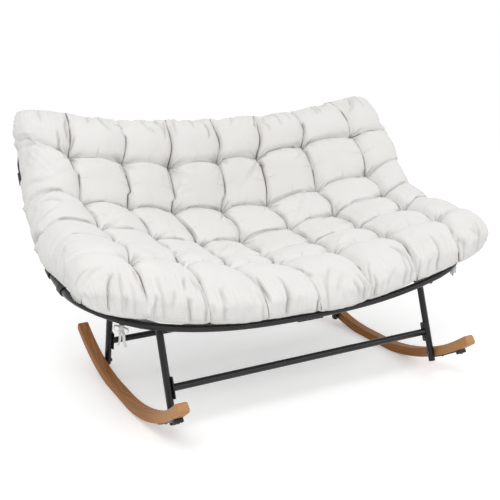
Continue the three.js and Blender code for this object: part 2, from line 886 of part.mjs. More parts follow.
// A strip of even thickness along a line of points, as a closed outline
function stripOutline(line, thickness) {
  const sides = [[], []];
  line.forEach((point, i) => {
    const before = line[Math.max(i - 1, 0)];
    const after = line[Math.min(i + 1, line.length - 1)];
    const dir = after.clone().sub(before).normalize();
    const normal = new THREE.Vector2(-dir.y, dir.x);
    sides[0].push(point.clone().addScaledVector(normal, thickness / 2));
    sides[1].push(point.clone().addScaledVector(normal, -thickness / 2));
  });
  const outline = [...sides[0], ...sides[1].reverse()];
  return THREE.ShapeUtils.isClockWise(outline) ? outline.reverse() : outline;
}

// Axes at a station of the side profile: X, the way up out of the seat, and back along it
function stationMatrix(s) {
  const { point, dir } = sideProfile.at(s);
  const up = new THREE.Vector3(0, -dir.y, dir.x);
  const forward = new THREE.Vector3(0, -dir.x, -dir.y);
  const matrix = new THREE.Matrix4().makeBasis(xAxis, up, forward);
  matrix.setPosition(0, point.x, point.y);
  return matrix;
}

// A closed solid through outlines of equal count, with flat ends
function loft(outlines) {
  const count = outlines[0].points.length;
  const positions = [];
  for (const { points, matrix } of outlines) {
    for (const point of points) {
      positions.push(...new THREE.Vector3(point.x, point.y, 0).applyMatrix4(matrix).toArray());
    }
  }
  const index = [];
  for (let k = 0; k + 1 < outlines.length; k += 1) {
    for (let i = 0; i < count; i += 1) {
      const a = k * count + i;
      const b = k * count + ((i + 1) % count);
      index.push(a, b, b + count, a, b + count, a + count);
    }
  }
  const last = (outlines.length - 1) * count;
  for (const [a, b, c] of THREE.ShapeUtils.triangulateShape(outlines[0].points, [])) {
    index.push(a, c, b);
    index.push(last + a, last + b, last + c);
  }
  const geometry = new THREE.BufferGeometry();
  geometry.setAttribute('position', new THREE.Float32BufferAttribute(positions, 3));
  geometry.setIndex(index);
  geometry.computeVertexNormals();
  return geometry;
}

function makeStrap(index) {
  const middle = strapFirst + strapPitch * index;
  const outlines = [];
  for (let k = 0; k <= strapStations; k += 1) {
    const s = middle + strapWidth * (1 / 2 - k / strapStations);
    const points = stripOutline(strapLine(s), strapThickness);
    outlines.push({ points, matrix: stationMatrix(s) });
  }
  return loft(outlines);
}

// Cushion
function edgeFactor(t) {
  return Math.sqrt(Math.max(0, 1 - Math.pow(Math.abs(t), cushionSquareness)));
}

function clampToFrame(s) {
  return THREE.MathUtils.clamp(s, 0, sideProfile.length);
}

// Rise of one panel from tuft to tuft: the outer panels stay full as far as the edge
function panelRise(t, count) {
  const place = t * count;
  const fromEdge = Math.min(place, count - place);
  return fromEdge < 1 / 2 ? 1 : Math.abs(Math.sin(Math.PI * place));
}

function puff(u, v) {
  return Math.sqrt(panelRise(u, cushionColumns) * panelRise(v, cushionRows));
}

// A cushion point in the room: shares u and v run over its plan, face is 1 on top and -1 below
function cushionPoint(u, v, face) {
  const sFrom = -cushionFrontOverhang;
  const sTo = sideProfile.length + cushionTopOverhang;
  const across = 2 * u - 1;
  const along = 2 * v - 1;
  const drawIn = cornerDrawIn * Math.pow(Math.abs(across * along), cushionSquareness);
  const bow = tuftRowShift * across * across * Math.sin(Math.PI * v);
  const flat = THREE.MathUtils.lerp(sFrom, sTo, v) - bow - Math.sign(along) * drawIn;
  const halfWidth = halfWidthAt(clampToFrame(flat)) + cushionSideOverhang - drawIn;
  const x = across * halfWidth;
  const s = flat - hoopDip(x, clampToFrame(flat)) * sideProfile.at(flat).dir.y;
  const { point, dir } = sideProfile.at(s);
  const base = seatHeight(x, clampToFrame(s), wrapRadius + strapThickness / 2 + cushionLift);
  const tuft = tuftThickness + tuftSideExtra * Math.pow(Math.abs(across), dishPower);
  const thickness = tuft + puffRise * puff(u, v);
  const edge = edgeFactor(across) * edgeFactor(along);
  const rim = tuft * cushionRimShare;
  const height = base + rim + edge * (face > 0 ? thickness - rim : -rim);
  return new THREE.Vector3(x, point.x - dir.y * height, point.y + dir.x * height);
}

// Share of the cushion's plan at a grid line: the lines crowd towards the edges
function gridShare(line, panels, cells) {
  const place = line / cells;
  const fromEdge = Math.min(place, panels - place);
  const crowded = fromEdge < 1 ? Math.pow(fromEdge, edgeCrowdPower) : fromEdge;
  return (place < panels / 2 ? crowded : panels - crowded) / panels;
}

function makeCushion() {
  const columns = cushionColumns * cellsPerColumn;
  const rows = cushionRows * cellsPerRow;
  const positions = [];
  const index = [];
  const names = new Map();
  function vertex(i, j, face) {
    const rim = i === 0 || j === 0 || i === columns || j === rows;
    const key = `${i} ${j} ${rim ? 0 : face}`;
    if (!names.has(key)) {
      names.set(key, positions.length / 3);
      const u = gridShare(i, cushionColumns, cellsPerColumn);
      const v = gridShare(j, cushionRows, cellsPerRow);
      positions.push(...cushionPoint(u, v, face).toArray());
    }
    return names.get(key);
  }
  for (const face of [1, -1]) {
    for (let i = 0; i < columns; i += 1) {
      for (let j = 0; j < rows; j += 1) {
        const a = vertex(i, j, face);
        const b = vertex(i + 1, j, face);
        const c = vertex(i + 1, j + 1, face);
        const d = vertex(i, j + 1, face);
        if (face > 0) {
          index.push(a, b, c, a, c, d);
        } else {
          index.push(a, c, b, a, d, c);
        }
      }
    }
  }
  const geometry = new THREE.BufferGeometry();
  geometry.setAttribute('position', new THREE.Float32BufferAttribute(positions, 3));
  geometry.setIndex(index);
  geometry.computeVertexNormals();
  return geometry;
}

// Ties: each sits on one of the straight runs that the hoop's bends are made of
function makeTie(place, side) {
  const curve = new THREE.CatmullRomCurve3(hoopHalfPoints(side), false, 'centripetal');
  const stations = curve.getSpacedPoints(hoopHalfSteps);
  const station = Math.round(place.hoopShare * hoopHalfSteps);
  const centre = stations[station].clone().lerp(stations[station + 1], 1 / 2);
  const tangent = stations[station + 1].clone().sub(stations[station]).normalize();
  const out = place.away.clone().addScaledVector(tangent, -place.away.dot(tangent)).normalize();
  const across = new THREE.Vector3().crossVectors(out, tangent);
  const inner = tubeRadius + seatGap;
  const shape = circleShape(inner + tieThickness);
  const hole = new THREE.Path();
  hole.absarc(0, 0, inner, 0, Math.PI * 2);
  shape.holes.push(hole);
  const band = new THREE.ExtrudeGeometry(shape, {
    depth: tieWidth,
    bevelEnabled: false,
    curveSegments: tieCorners,
  });
  band.translate(0, 0, -tieWidth / 2);
  band.applyMatrix4(new THREE.Matrix4().makeBasis(across, out, tangent));
  band.translate(centre.x, centre.y, centre.z);
  const knotCentre = centre.clone().addScaledVector(out, inner + tieThickness / 2 + tieKnotRadius);
  const knot = new THREE.SphereGeometry(tieKnotRadius, tieCorners / 2, tieCorners / 2);
  alongDirection(knot, knotCentre, out);
  const heading = Math.atan2(tangent.y, tangent.x);
  const tails = [-1, 1].map((way) => {
    const tail = new THREE.BoxGeometry(tieWidth, tieThickness * 2, tieTailLength);
    tail.translate(0, 0, -tieTailLength / 2);
    tail.rotateY(way * tieTailSpread);
    tail.rotateZ(heading);
    tail.translate(knotCentre.x, knotCentre.y, knotCentre.z);
    return tail;
  });
  return join([band, knot, ...tails]);
}

// Group
const bench = new THREE.Group();
bench.name = 'rocking_bench';

function add(name, geometry, material) {
  const mesh = new THREE.Mesh(geometry, material);
  mesh.name = name;
  bench.add(mesh);
}

const sides = [
  { name: 'left', side: -1 },
  { name: 'right', side: 1 },
];

for (const { name, side } of sides) {
  add(`hoop_half_${name}`, makeHoopHalf(side), steelPaint());
  add(`rib_${name}`, makeOuterRib(side), steelPaint());
  add(`rocker_${name}`, makeRocker(side), rockerWood());
  add(`anti_tip_strip_${name}`, makeStrip(side), steelPaint());
  add(`anti_tip_stop_${name}`, makeStop(side), blackRubber());
  add(`strip_screw_rear_${name}`, makeStripScrew(side, 0), steelPaint());
  add(`strip_screw_front_${name}`, makeStripScrew(side, 1), steelPaint());
  for (const leg of legs) {
    add(`${leg.name}_leg_${name}`, makeLeg(leg, side), steelPaint());
    add(`${leg.name}_leg_cap_${name}`, makeLegCap(leg, side), blackPlastic());
    add(`${leg.name}_plate_${name}`, makePlate(leg, side), steelPaint());
    add(`${leg.name}_rocker_bolt_${name}`, makeRockerBolt(leg, side), steelPaint());
    const [lower, upper] = plateBoltCentres(leg, side);
    add(`${leg.name}_plate_bolt_lower_${name}`, makePlateBolt(lower, side), steelPaint());
    add(`${leg.name}_plate_bolt_upper_${name}`, makePlateBolt(upper, side), steelPaint());
  }
  for (const joint of joints) {
    add(`${joint.name}_saddle_screw_${name}`, makeSaddleScrew(joint, side), steelPaint());
  }
  for (const place of tiePlaces) {
    add(`cushion_tie_${place.name}_${name}`, makeTie(place, side), cushionFabric());
  }
}

add('rib_centre', makeCentreRib(), steelPaint());

for (const joint of joints) {
  add(`hoop_sleeve_${joint.name}`, makeSleeve(joint), steelPaint());
  add(`rib_saddle_${joint.name}`, makeSaddle(joint), steelPaint());
}

for (const leg of legs) {
  add(`stretcher_${leg.name}`, makeStretcher(leg), steelPaint());
}

for (let i = 0; i < strapCount; i += 1) {
  add(`webbing_strap_${i + 1}`, makeStrap(i), webbing());
}

add('cushion', makeCushion(), cushionFabric());

// The origin lies on the floor under the middle of the bench
const bounds = new THREE.Box3().setFromObject(bench);
const middle = bounds.getCenter(new THREE.Vector3());
bench.position.set(-middle.x, -middle.y, -bounds.min.z);

export default bench;
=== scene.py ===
"""Rocking bench: finishes for its frame, its tufted cushion with ties and stitches, and a studio.

Lengths are in metres. X runs to the right as seen from the front, Y to the back and Z up.
"""

import json
import math

import bmesh
import bpy
import numpy as np
from bpy.props import FloatProperty, FloatVectorProperty, PointerProperty
from mathutils import Matrix, Vector

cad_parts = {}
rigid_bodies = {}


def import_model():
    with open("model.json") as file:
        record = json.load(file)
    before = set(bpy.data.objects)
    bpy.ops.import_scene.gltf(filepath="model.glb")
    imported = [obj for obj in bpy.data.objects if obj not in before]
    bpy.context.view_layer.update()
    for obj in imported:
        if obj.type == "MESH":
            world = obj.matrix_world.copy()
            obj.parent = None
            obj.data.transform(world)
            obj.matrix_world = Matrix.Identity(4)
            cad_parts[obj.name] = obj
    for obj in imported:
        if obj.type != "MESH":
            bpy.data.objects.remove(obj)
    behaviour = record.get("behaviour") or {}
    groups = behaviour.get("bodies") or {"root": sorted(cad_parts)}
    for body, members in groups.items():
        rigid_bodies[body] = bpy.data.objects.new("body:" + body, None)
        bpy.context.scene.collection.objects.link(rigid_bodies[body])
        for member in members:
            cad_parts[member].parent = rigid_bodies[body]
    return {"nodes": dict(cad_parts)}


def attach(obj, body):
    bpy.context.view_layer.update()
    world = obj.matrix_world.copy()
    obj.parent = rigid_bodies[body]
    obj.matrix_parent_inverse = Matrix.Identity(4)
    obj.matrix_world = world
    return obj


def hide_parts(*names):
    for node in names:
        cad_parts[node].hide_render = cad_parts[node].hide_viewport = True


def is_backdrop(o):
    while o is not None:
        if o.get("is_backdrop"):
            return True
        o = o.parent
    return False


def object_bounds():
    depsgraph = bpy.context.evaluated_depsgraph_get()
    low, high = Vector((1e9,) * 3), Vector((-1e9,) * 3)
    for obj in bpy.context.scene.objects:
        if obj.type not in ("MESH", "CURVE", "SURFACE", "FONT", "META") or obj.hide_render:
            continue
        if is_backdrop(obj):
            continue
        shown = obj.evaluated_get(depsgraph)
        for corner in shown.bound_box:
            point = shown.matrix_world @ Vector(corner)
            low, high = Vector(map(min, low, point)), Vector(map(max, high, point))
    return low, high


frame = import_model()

bl_info = {
    "name": "Rocking bench",
    "version": (1, 0, 0),
    "blender": (4, 5, 0),
    "location": "View3D > Sidebar > Bench",
    "description": "Dresses the rocking bench and its studio",
    "category": "Object",
}

CAD_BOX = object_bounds()
BODY = "root"

# The seat's side view, as (y, z) points, and the hoop and the centre rib that follow it.
SIDE_FRONT = (-0.312887, 0.408)
SIDE_BACK = (0.470113, 0.860)
SIDE_BACK_LEAN = math.radians(76)
SIDE_BEND = 0.556
RIB_FRONT_LEAN = math.radians(-4)
RIB_BACK_LEAN = math.radians(78)
RIB_BEND = 0.350
RIB_BELOW_HOOP = 0.005
HOOP_HALF_FRONT = 0.698
HOOP_HALF_BACK = 0.676
HOOP_DIP_FRONT = 0.121
HOOP_DIP_BACK = 0.077
HOOP_DIP_POWER = 2.5
HOOP_CORNER_FRONT = 0.190
HOOP_CORNER_BACK = 0.180
TUBE_RADIUS = 0.011
HOOP_POINTS = 400

# The legs' centre lines, each from its foot to its head as (y, z), and their places left and right.
LEG_X = 0.475
LEG_LINES = (((-0.343, 0.053), (-0.247, 0.314)), ((0.2295, 0.024), (0.157, 0.275)))

# The rockers' curve, which the wood's grain follows.
ROCKER_RADIUS = 0.728
ROCKER_MIDDLE_Y = 0.0066
ROCKER_EDGE = 0.0028

# The cushion. Columns count from the left, rows from the front to the back.
COLUMNS = 8
ROWS = 6
CUSHION_SAG_POWER = 1.6
CUSHION_LIFT = 0.0153
FRONT_OVERHANG = 0.050
BACK_OVERHANG = 0.018
SIDE_OVERHANG = 0.030
ROW_BOW = 0.120
TUFT_THICKNESS = 0.090
TUFT_SIDE_EXTRA = 0.036
SIDE_EXTRA_POWER = 1.6
SQUARENESS = 12
CORNER_DRAW_IN = 0.026
RIM_SHARE = 0.4
UNDER_BULGE = 0.024
FRONT_SINK_LEFT = 0.027
FRONT_SINK_RIGHT = 0.013
FRONT_ROLL_ROWS = 0.95
UNDER_ROLL_ROWS = 0.16
UNDER_ROLL_FADE = 0.10
PUFF_ROUNDNESS = 2.0
# How deep the lengthwise and the crosswise seams lie halfway between two tufts, against a tuft.
TOP_SEAMS = (0.62, 0.50)
UNDER_SEAMS = (0.50, 0.50)
# How far a seam bows out between two tufts, as a share of the cushion's width and length, and
# over how many rows and columns from the edge the bow grows to that.
SEAM_BOW = 0.0095
CROSS_SEAM_BOW = 0.0075
BOW_ROWS = 0.8
BOW_COLUMNS = 0.6
# How far each tuft sits from its even place, in thousandths of the cushion's width and length.
TUFT_SHIFT = (
    ((-8, -45), (-15, -20), (-20, 10), (-20, 30), (-1, 19), (-7, -14), (-6, -45)),
    ((16, 50), (18, 48), (5, 34), (-5, -8), (9, 9), (0, -15), (-1, -15)),
    ((10, 42), (14, 34), (4, 9), (10, 26), (15, 22), (13, 24), (18, 26)),
    ((-10, 7), (-15, 3), (-20, 0), (-3, -1), (-3, -11), (9, -1), (16, 13)),
    ((-16, 12), (-11, -3), (-12, -15), (2, -9), (-9, -8), (-4, 8), (11, 18)),
)
# How far the crosswise seams sit from their even places at the left and right edge, likewise.
SEAM_SHIFT_LEFT = (20, 30, 42, 52, 73)
SEAM_SHIFT_RIGHT = (32, 90, 68, 66, 26)

# Places where use has pushed the filling out or drawn it in: column, row, reach in columns and
# in rows, and the move.
HAND_SHAPING = (
    (8.0, 4.5, 1.1, 1.1, (0.024, -0.034, 0.0)),
    (0.0, 4.75, 0.8, 0.45, (0.011, 0.0, 0.0)),
    (8.0, 0.5, 0.9, 0.9, (-0.022, 0.0, -0.016)),
    (8.0, 1.6, 0.8, 0.8, (-0.006, 0.0, -0.012)),
    (3.7, 0.0, 0.7, 0.45, (0.0, 0.0, 0.015)),
    (0.0, 2.7, 0.7, 0.8, (-0.010, 0.0, 0.0)),
    (1.6, 0.0, 0.9, 0.35, (0.0, 0.0, -0.005)),
    (7.2, 0.0, 0.8, 0.35, (0.0, 0.0, -0.008)),
)
# Creases where the cover is gathered or pinched: from column and row, to column and row, and
# depth in millimetres.
CREASES = (
    (0.04, 0.37, 0.25, 0.37, 5),
    (0.12, 0.21, 0.44, 0.37, 4),
    (0.55, 0.25, 0.37, -0.15, 8),
    (0.92, 0.51, 0.92, 0.29, 7),
    (0.92, 0.25, 0.96, 0.14, 5),
    (0.67, 0.04, 0.67, 0, 4),
    (1.69, 0.37, 1.62, 0.17, 5),
    (1.81, 0.42, 1.84, 0.21, 4),
    (1.62, 0.08, 1.72, -0.15, 7),
    (2.09, 0.06, 1.84, -0.15, 9),
    (2.03, 0.08, 1.94, 0.02, 4),
    (2.28, 0.21, 2.28, 0.06, 4),
    (1.16, 0.11, 1.09, 0, 4),
    (1.44, 0.14, 1.34, 0.02, 3),
    (3.06, 0.42, 3.06, 0.06, 8),
    (3.41, 0.17, 3.22, -0.15, 9),
    (3.91, 0.42, 3.91, -0.15, 9),
    (4.06, 0.42, 4.09, 0.29, 4),
    (4.72, 0.11, 4.81, 0, 5),
    (4.88, 0.11, 4.97, 0.02, 4),
    (5.12, 0.11, 5.09, -0.15, 7),
    (5.66, 0.42, 5.81, 0.17, 5),
    (5.97, 0.25, 5.94, 0.06, 5),
    (6.12, 0.08, 5.97, -0.15, 8),
    (6.34, 0.02, 6.03, -0.15, 8),
    (6.91, 0.33, 7.04, -0.15, 7),
    (6.94, 0.21, 7.17, 0.02, 5),
    (7.13, 0.11, 7.17, 0.02, 5),
    (7.37, 0.17, 7.59, 0.02, 5),
    (4.59, 0.21, 4.38, 0.04, 4),
    (4.44, 0.33, 4.19, 0.04, 3),
    (0.96, 5.86, 0.96, 5.33, 7),
    (0.75, 5.44, 0.83, 4.83, 7),
    (1.06, 5.44, 1, 5.11, 5),
    (1.84, 5.83, 2.06, 5.79, 5),
    (2.84, 5.83, 2.97, 5.75, 5),
    (2.91, 5.83, 2.84, 5.49, 4),
    (3.72, 5.79, 3.72, 5.44, 6),
    (5, 5.89, 4.91, 5.63, 6),
    (4.97, 5.92, 4.88, 5.67, 5),
    (5.12, 5.89, 5.16, 5.75, 4),
    (5.09, 5.75, 5.22, 5.49, 3),
    (7.41, 5.96, 7.25, 5.79, 6),
    (7.49, 5.96, 7.08, 5.58, 6),
    (2.53, 5.71, 2.62, 5.58, 3),
    (0.03, 4.88, 0.44, 4.83, 5),
    (0.06, 4.29, 0.25, 4.21, 4),
    (0.14, 3.75, 0.48, 3.58, 6),
    (0, 3.29, 0.1, 2.92, 7),
    (7.45, 4.96, 7.69, 4.92, 7),
    (6.84, 4.92, 7.21, 5, 4),
    (1.88, 4.83, 1.97, 4.71, 6),
    (2.94, 4.92, 2.97, 4.5, 6),
)
# The tuft whose threads were left long: its column and row, and each end's heading and length.
LOOSE_TUFT = (2, 3)
LOOSE_ENDS = ((0.4, 0.013), (1.5, 0.017), (2.7, 0.011), (4.3, 0.012))
# A panel's nominal size: for the creases' lengths, and the shorter length for seams and tufts.
PANEL_WIDTH = 0.180
PANEL_LENGTH = 0.235
SEAM_PANEL_LENGTH = 0.230
# How far past the rim the edge creases start or end, in rows.
PAST_RIM = 0.15
FILLING_WAVES = 0.0016
# The cloth's nominal size, which its weave is laid out on.
CLOTH_WIDTH = 1.46
CLOTH_LENGTH = 1.42
# Grid lines per panel of the cover and of its simulation, how strongly they crowd at the rim, and
# which of the cover's lines its underside keeps.
GRID_PER_COLUMN = 44
GRID_PER_ROW = 34
SIMULATED_PER_PANEL = 12
CROWDING = 0.62
UNDER_SKIP = 2

# The simulation that fills the cover: its cloth, how firmly its parts are held in place and how
# far around a seam, the furthest that a point may move, and how much of it the underside keeps.
CLOTH_SETTINGS = {
    "vertex_group_mass": "held",
    "pin_stiffness": 1.0,
    "quality": 5,
    "mass": 0.25,
    "tension_stiffness": 12,
    "compression_stiffness": 12,
    "shear_stiffness": 4,
    "bending_stiffness": 0.35,
    "shrink_min": -0.07,
    "use_pressure": True,
}
CLOTH_FRAMES = 20
HELD_SEAM = 0.25
HELD_RIM = 0.5
HELD_UNDER = 0.7
HELD_REACH = 0.05
LEAST_HOLD = 0.004
LARGEST_MOVE = 0.026
UNDER_SHARE = 0.3

# The ties: their places along the hoop's half, from front to back, and their tapes.
TIE_PLACES = (("front", 0.265), ("back", 0.715))
TAPE_THICKNESS = 0.0011
TAPE_CLEARANCE = 0.0016
KNOT_DROP = 0.006
LOOP_REACHES = (0.019, 0.026)
TAIL_LENGTHS = (0.050, 0.060)
SHORT_TAILS = 0.4

# CAD pieces: corners closer than this are joined, and edges above these angles stay sharp or
# are eased.
JOIN_WITHIN = 0.00001
SHARP_ABOVE = math.radians(38)
EASED_ABOVE = math.radians(50)

# The studio: the camera's place, turn, tilt and lens, and the lamps' places, sizes and shares of
# the key light's power.
CAMERA_PLACE = (-1.2448, -2.1963, 1.0957)
CAMERA_TURN = math.radians(28.742)
CAMERA_TILT = math.radians(14.962)
CAMERA_LENS = 56.02
LAMPS = (
    ("key", (-1.9, -2.2, 3.5), (2.4, 1.8), 1.0),
    ("fill", (2.6, 1.2, 2.2), (2.0, 1.6), 0.10),
    ("strip", (1.75, -2.9, 1.65), (2.8, 0.30), 0.32),
)
LAMP_AIM = (0, 0, 0.4)
FLOOR_HALF = 40.0
# The floor's glow by distance from the middle, dimmed near the bench as painted shade, and the
# share of the dome's light that comes from level and what straight up adds to it.
FLOOR_FADE = (1.1, 2.4)
FLOOR_NEAR_SHADE = 0.94
FLOOR_WHITE = 1.01
DOME_LEVEL = 0.50
DOME_TOP = 0.75


# ---------------------------------------------------------------- settings


def length_setting(name, description, default, low, high):
    return FloatProperty(
        name=name, description=description, default=default, min=low, max=high, unit="LENGTH"
    )


def number_setting(name, description, default, high, unit="NONE"):
    return FloatProperty(
        name=name, description=description, default=default, min=0.0, max=high, unit=unit
    )


def colour_setting(name, description, default):
    return FloatVectorProperty(
        name=name,
        description=description,
        subtype="COLOR",
        size=3,
        default=default,
        min=0.0,
        max=1.0,
    )


class CushionSettings(bpy.types.PropertyGroup):
    """Sizes and colours of the cushion and its ties"""

    puff_rise: length_setting(
        "Puff rise", "How far the middle of a panel stands above its tufts", 0.046, 0.0, 0.08
    )
    pressure: number_setting(
        "Filling pressure", "Pressure that blows the cover up in the cloth simulation", 4.0, 20.0
    )
    pinch_depth: length_setting(
        "Pinch folds", "Height of the small folds that run out of each tuft", 0.0042, 0.0, 0.02
    )
    gather_depth: length_setting(
        "Edge gathers", "Depth of the small folds along the cushion's edges", 0.0085, 0.0, 0.02
    )
    fabric_colour: colour_setting("Fabric", "Colour of the woven cover", (0.80, 0.792, 0.772))
    # Painted shade: the colour that creases, seams and tufts are darkened towards.
    crease_shade_colour: colour_setting(
        "Creases", "Colour of the cover deep inside its creases", (0.21, 0.170, 0.135)
    )
    yarn_pitch: length_setting(
        "Yarn pitch", "Distance from one yarn of the weave to the next", 0.0012, 0.0003, 0.01
    )
    stitch_spacing: length_setting(
        "Stitch spacing",
        "Distance from one stitch of the edge seam to the next",
        0.009,
        0.003,
        0.05,
    )
    tie_width: length_setting(
        "Tie width", "Width of the tapes that tie the cushion to the hoop", 0.010, 0.004, 0.03
    )


class FrameSettings(bpy.types.PropertyGroup):
    """Colours of the frame, the rockers and the small parts"""

    coating_colour: colour_setting(
        "Powder coat", "Colour of the coated steel", (0.0065, 0.0065, 0.0075)
    )
    wood_light: colour_setting(
        "Wood, light", "Colour of the early wood between the growth rings", (0.48, 0.205, 0.060)
    )
    wood_dark: colour_setting(
        "Wood, dark", "Colour of the late wood and the pores", (0.27, 0.095, 0.022)
    )
    webbing_colour: colour_setting(
        "Webbing", "Colour of the straps under the cushion", (0.022, 0.022, 0.024)
    )
    bead_width: length_setting(
        "Weld bead", "Width of a weld's ripples across the seam", 0.0048, 0.002, 0.01
    )


class StageSettings(bpy.types.PropertyGroup):
    """The studio around the bench"""

    sky_level: number_setting("Dome light", "Level of the soft light from all sides", 0.765, 2.0)
    key_power: number_setting(
        "Key light", "Power of the large soft lamp at the front left", 56.0, 500.0, "POWER"
    )
    floor_shade: number_setting(
        "Floor",
        "Share of light that the floor gives back, which sets how deep shadows look",
        0.90,
        1.0,
    )


# ---------------------------------------------------------------- node helpers


class Value:
    """A number, colour or vector inside a node tree that can stand in an expression."""

    def __init__(self, nodes, socket):
        self.nodes = nodes
        self.socket = socket

    def __add__(self, other):
        return self.nodes.maths("ADD", self, other)

    def __sub__(self, other):
        return self.nodes.maths("SUBTRACT", self, other)

    def __rsub__(self, other):
        return self.nodes.maths("SUBTRACT", other, self)

    def __mul__(self, other):
        return self.nodes.maths("MULTIPLY", self, other)

    def __truediv__(self, other):
        return self.nodes.maths("DIVIDE", self, other)

    __radd__ = __add__
    __rmul__ = __mul__


class Nodes:
    """Adds nodes to a tree from their type, settings and inputs."""

    math_node = "ShaderNodeMath"

    def __init__(self, tree):
        self.tree = tree

    def add(self, kind, settings=None, inputs=None):
        made = self.tree.nodes.new(kind)
        for key, value in (settings or {}).items():
            if key == "stops":
                ramp = made.color_ramp
                for place, colour in value[2:]:
                    ramp.elements.new(place).color = colour
                for element, (place, colour) in zip(ramp.elements, sorted(value)):
                    element.position = place
                    element.color = colour
            else:
                setattr(made, key, value)
        for key, value in (inputs or {}).items():
            self.feed(made.inputs[key], value)
        return made

    def feed(self, socket, value):
        source = value.socket if isinstance(value, Value) else value
        if isinstance(source, bpy.types.NodeSocket):
            self.tree.links.new(source, socket)
        else:
            socket.default_value = source

    def node(self, kind, settings=None, inputs=None, output=0):
        return Value(self, self.add(kind, settings, inputs).outputs[output])

    def maths(self, operation, *terms):
        return self.node(self.math_node, {"operation": operation}, dict(enumerate(terms)))


class Finish(Nodes):
    """A material on the principled shader."""

    def __init__(self, name, constants):
        self.material = bpy.data.materials.new(name)
        self.material.use_nodes = True
        super().__init__(self.material.node_tree)
        self.shader = self.tree.nodes["Principled BSDF"]
        for key, value in constants.items():
            self.shader.inputs[key].default_value = value
        self.place = self.node("ShaderNodeTexCoord", output="Object")
        self.x, self.y, self.z = self.split(self.place)

    def split(self, vector):
        """The three numbers of a vector."""
        parts = self.add("ShaderNodeSeparateXYZ", inputs={0: vector})
        return [Value(self, socket) for socket in parts.outputs]

    def attribute(self, name):
        return self.node("ShaderNodeAttribute", {"attribute_name": name}, output="Vector")

    def line(self, value, width):
        """Thin lines where a noise passes its middle value, 1 on the line and 0 beside it."""
        return self.between(self.maths("ABSOLUTE", value - 0.5), width, 0.0)

    def vector(self, x, y, z):
        return self.node("ShaderNodeCombineXYZ", inputs={0: x, 1: y, 2: z})

    def noise(self, scale, detail=3.0, roughness=0.5, place=None):
        inputs = {
            "Vector": place or self.place,
            "Scale": scale,
            "Detail": detail,
            "Roughness": roughness,
        }
        return self.node("ShaderNodeTexNoise", inputs=inputs)

    def between(self, value, low, high):
        """0 where the value is at low, 1 where it is at high, and smooth between."""
        settings = {"interpolation_type": "SMOOTHSTEP", "clamp": True}
        inputs = {"Value": value, "From Min": low, "From Max": high}
        return self.node("ShaderNodeMapRange", settings, inputs)

    def blend(self, share, first, second):
        """A mix of two colours."""
        inputs = {0: share, 6: colour_of(first), 7: colour_of(second)}
        settings = {"data_type": "RGBA", "clamp_factor": True}
        return self.node("ShaderNodeMix", settings, inputs, output=2)

    def set(self, **inputs):
        for key, value in inputs.items():
            self.feed(self.shader.inputs[key.replace("_", " ")], value)

    def relief(self, layers):
        """Stacks bumps, each a height, a depth in metres and a strength."""
        normal = None
        for height, depth, strength in layers:
            inputs = {"Height": height, "Distance": depth, "Strength": strength}
            if normal:
                inputs["Normal"] = normal
            normal = self.node("ShaderNodeBump", inputs=inputs)
        self.set(Normal=normal)


def colour_of(value):
    """A colour with its fourth number, or a socket as it is."""
    return value if isinstance(value, Value) else (*tuple(value)[:3], 1.0)


def shade(colour, factor):
    """A colour made darker or lighter by a factor."""
    return tuple(min(1.0, channel * factor) for channel in tuple(colour)[:3])


# ---------------------------------------------------------------- mesh helpers


def mesh_piece(name, points, faces, material):
    """A smooth piece of the bench from its points and faces, riding on the frame."""
    mesh = bpy.data.meshes.new(name)
    mesh.from_pydata([tuple(p) for p in points], [], [tuple(f) for f in faces])
    mesh.polygons.foreach_set("use_smooth", [True] * len(mesh.polygons))
    mesh.materials.append(material)
    mesh.validate()
    mesh.update()
    piece = bpy.data.objects.new(name, mesh)
    bpy.context.scene.collection.objects.link(piece)
    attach(piece, BODY)
    return piece


def unit(vectors):
    """Vectors of the same headings with a length of 1."""
    vectors = np.asarray(vectors, float)
    length = np.linalg.norm(vectors, axis=-1, keepdims=True)
    return vectors / np.maximum(length, 1e-12)


def smooth_step(t):
    """0 up to 0, 1 from 1 on, and smooth between."""
    t = np.clip(t, 0.0, 1.0)
    return t * t * (3 - 2 * t)


def curve_through(knots, count):
    """Evenly spaced points on a smooth curve through the given points."""
    knots = np.asarray(knots, float)
    padded = np.vstack([2 * knots[0] - knots[1], knots, 2 * knots[-1] - knots[-2]])
    fine = []
    for a, b, c, d in zip(padded, padded[1:], padded[2:], padded[3:]):
        t = np.linspace(0, 1, 24, endpoint=False)[:, None]
        spline = 2 * b + (c - a) * t + (2 * a - 5 * b + 4 * c - d) * t**2
        fine.append((spline + (3 * b - a - 3 * c + d) * t**3) / 2)
    fine = np.vstack(fine + [knots[-1:]])
    run = np.r_[0, np.cumsum(np.linalg.norm(np.diff(fine, axis=0), axis=1))]
    wanted = np.linspace(0, run[-1], count)
    return np.stack([np.interp(wanted, run, fine[:, k]) for k in range(3)], -1)


def tape(points, facing, width, thickness, closed=False):
    """A flat tape with rounded edges along a path, its face turned towards facing."""
    points = np.asarray(points, float)
    if closed:
        along = unit(np.roll(points, -1, 0) - np.roll(points, 1, 0))
    else:
        along = unit(np.gradient(points, axis=0))
    facing = np.broadcast_to(np.asarray(facing, float), points.shape)
    out = unit(facing - along * (facing * along).sum(-1, keepdims=True))
    across = np.cross(along, out)
    half, thin = width / 2, thickness / 2
    ring = [(half, 0), (0.86 * half, thin), (0, 1.15 * thin), (-0.86 * half, thin)]
    ring += [(-half, 0), (-0.86 * half, -thin), (0, -1.15 * thin), (0.86 * half, -thin)]
    vertices = np.concatenate([points + across * a + out * b for a, b in ring])
    count, sides = len(points), len(ring)
    faces = []
    for k in range(sides):
        for i in range(count if closed else count - 1):
            n, m = (i + 1) % count, (k + 1) % sides
            faces.append((k * count + i, m * count + i, m * count + n, k * count + n))
    if not closed:
        faces.append([k * count for k in range(sides)][::-1])
        faces.append([k * count + count - 1 for k in range(sides)])
    return vertices, faces


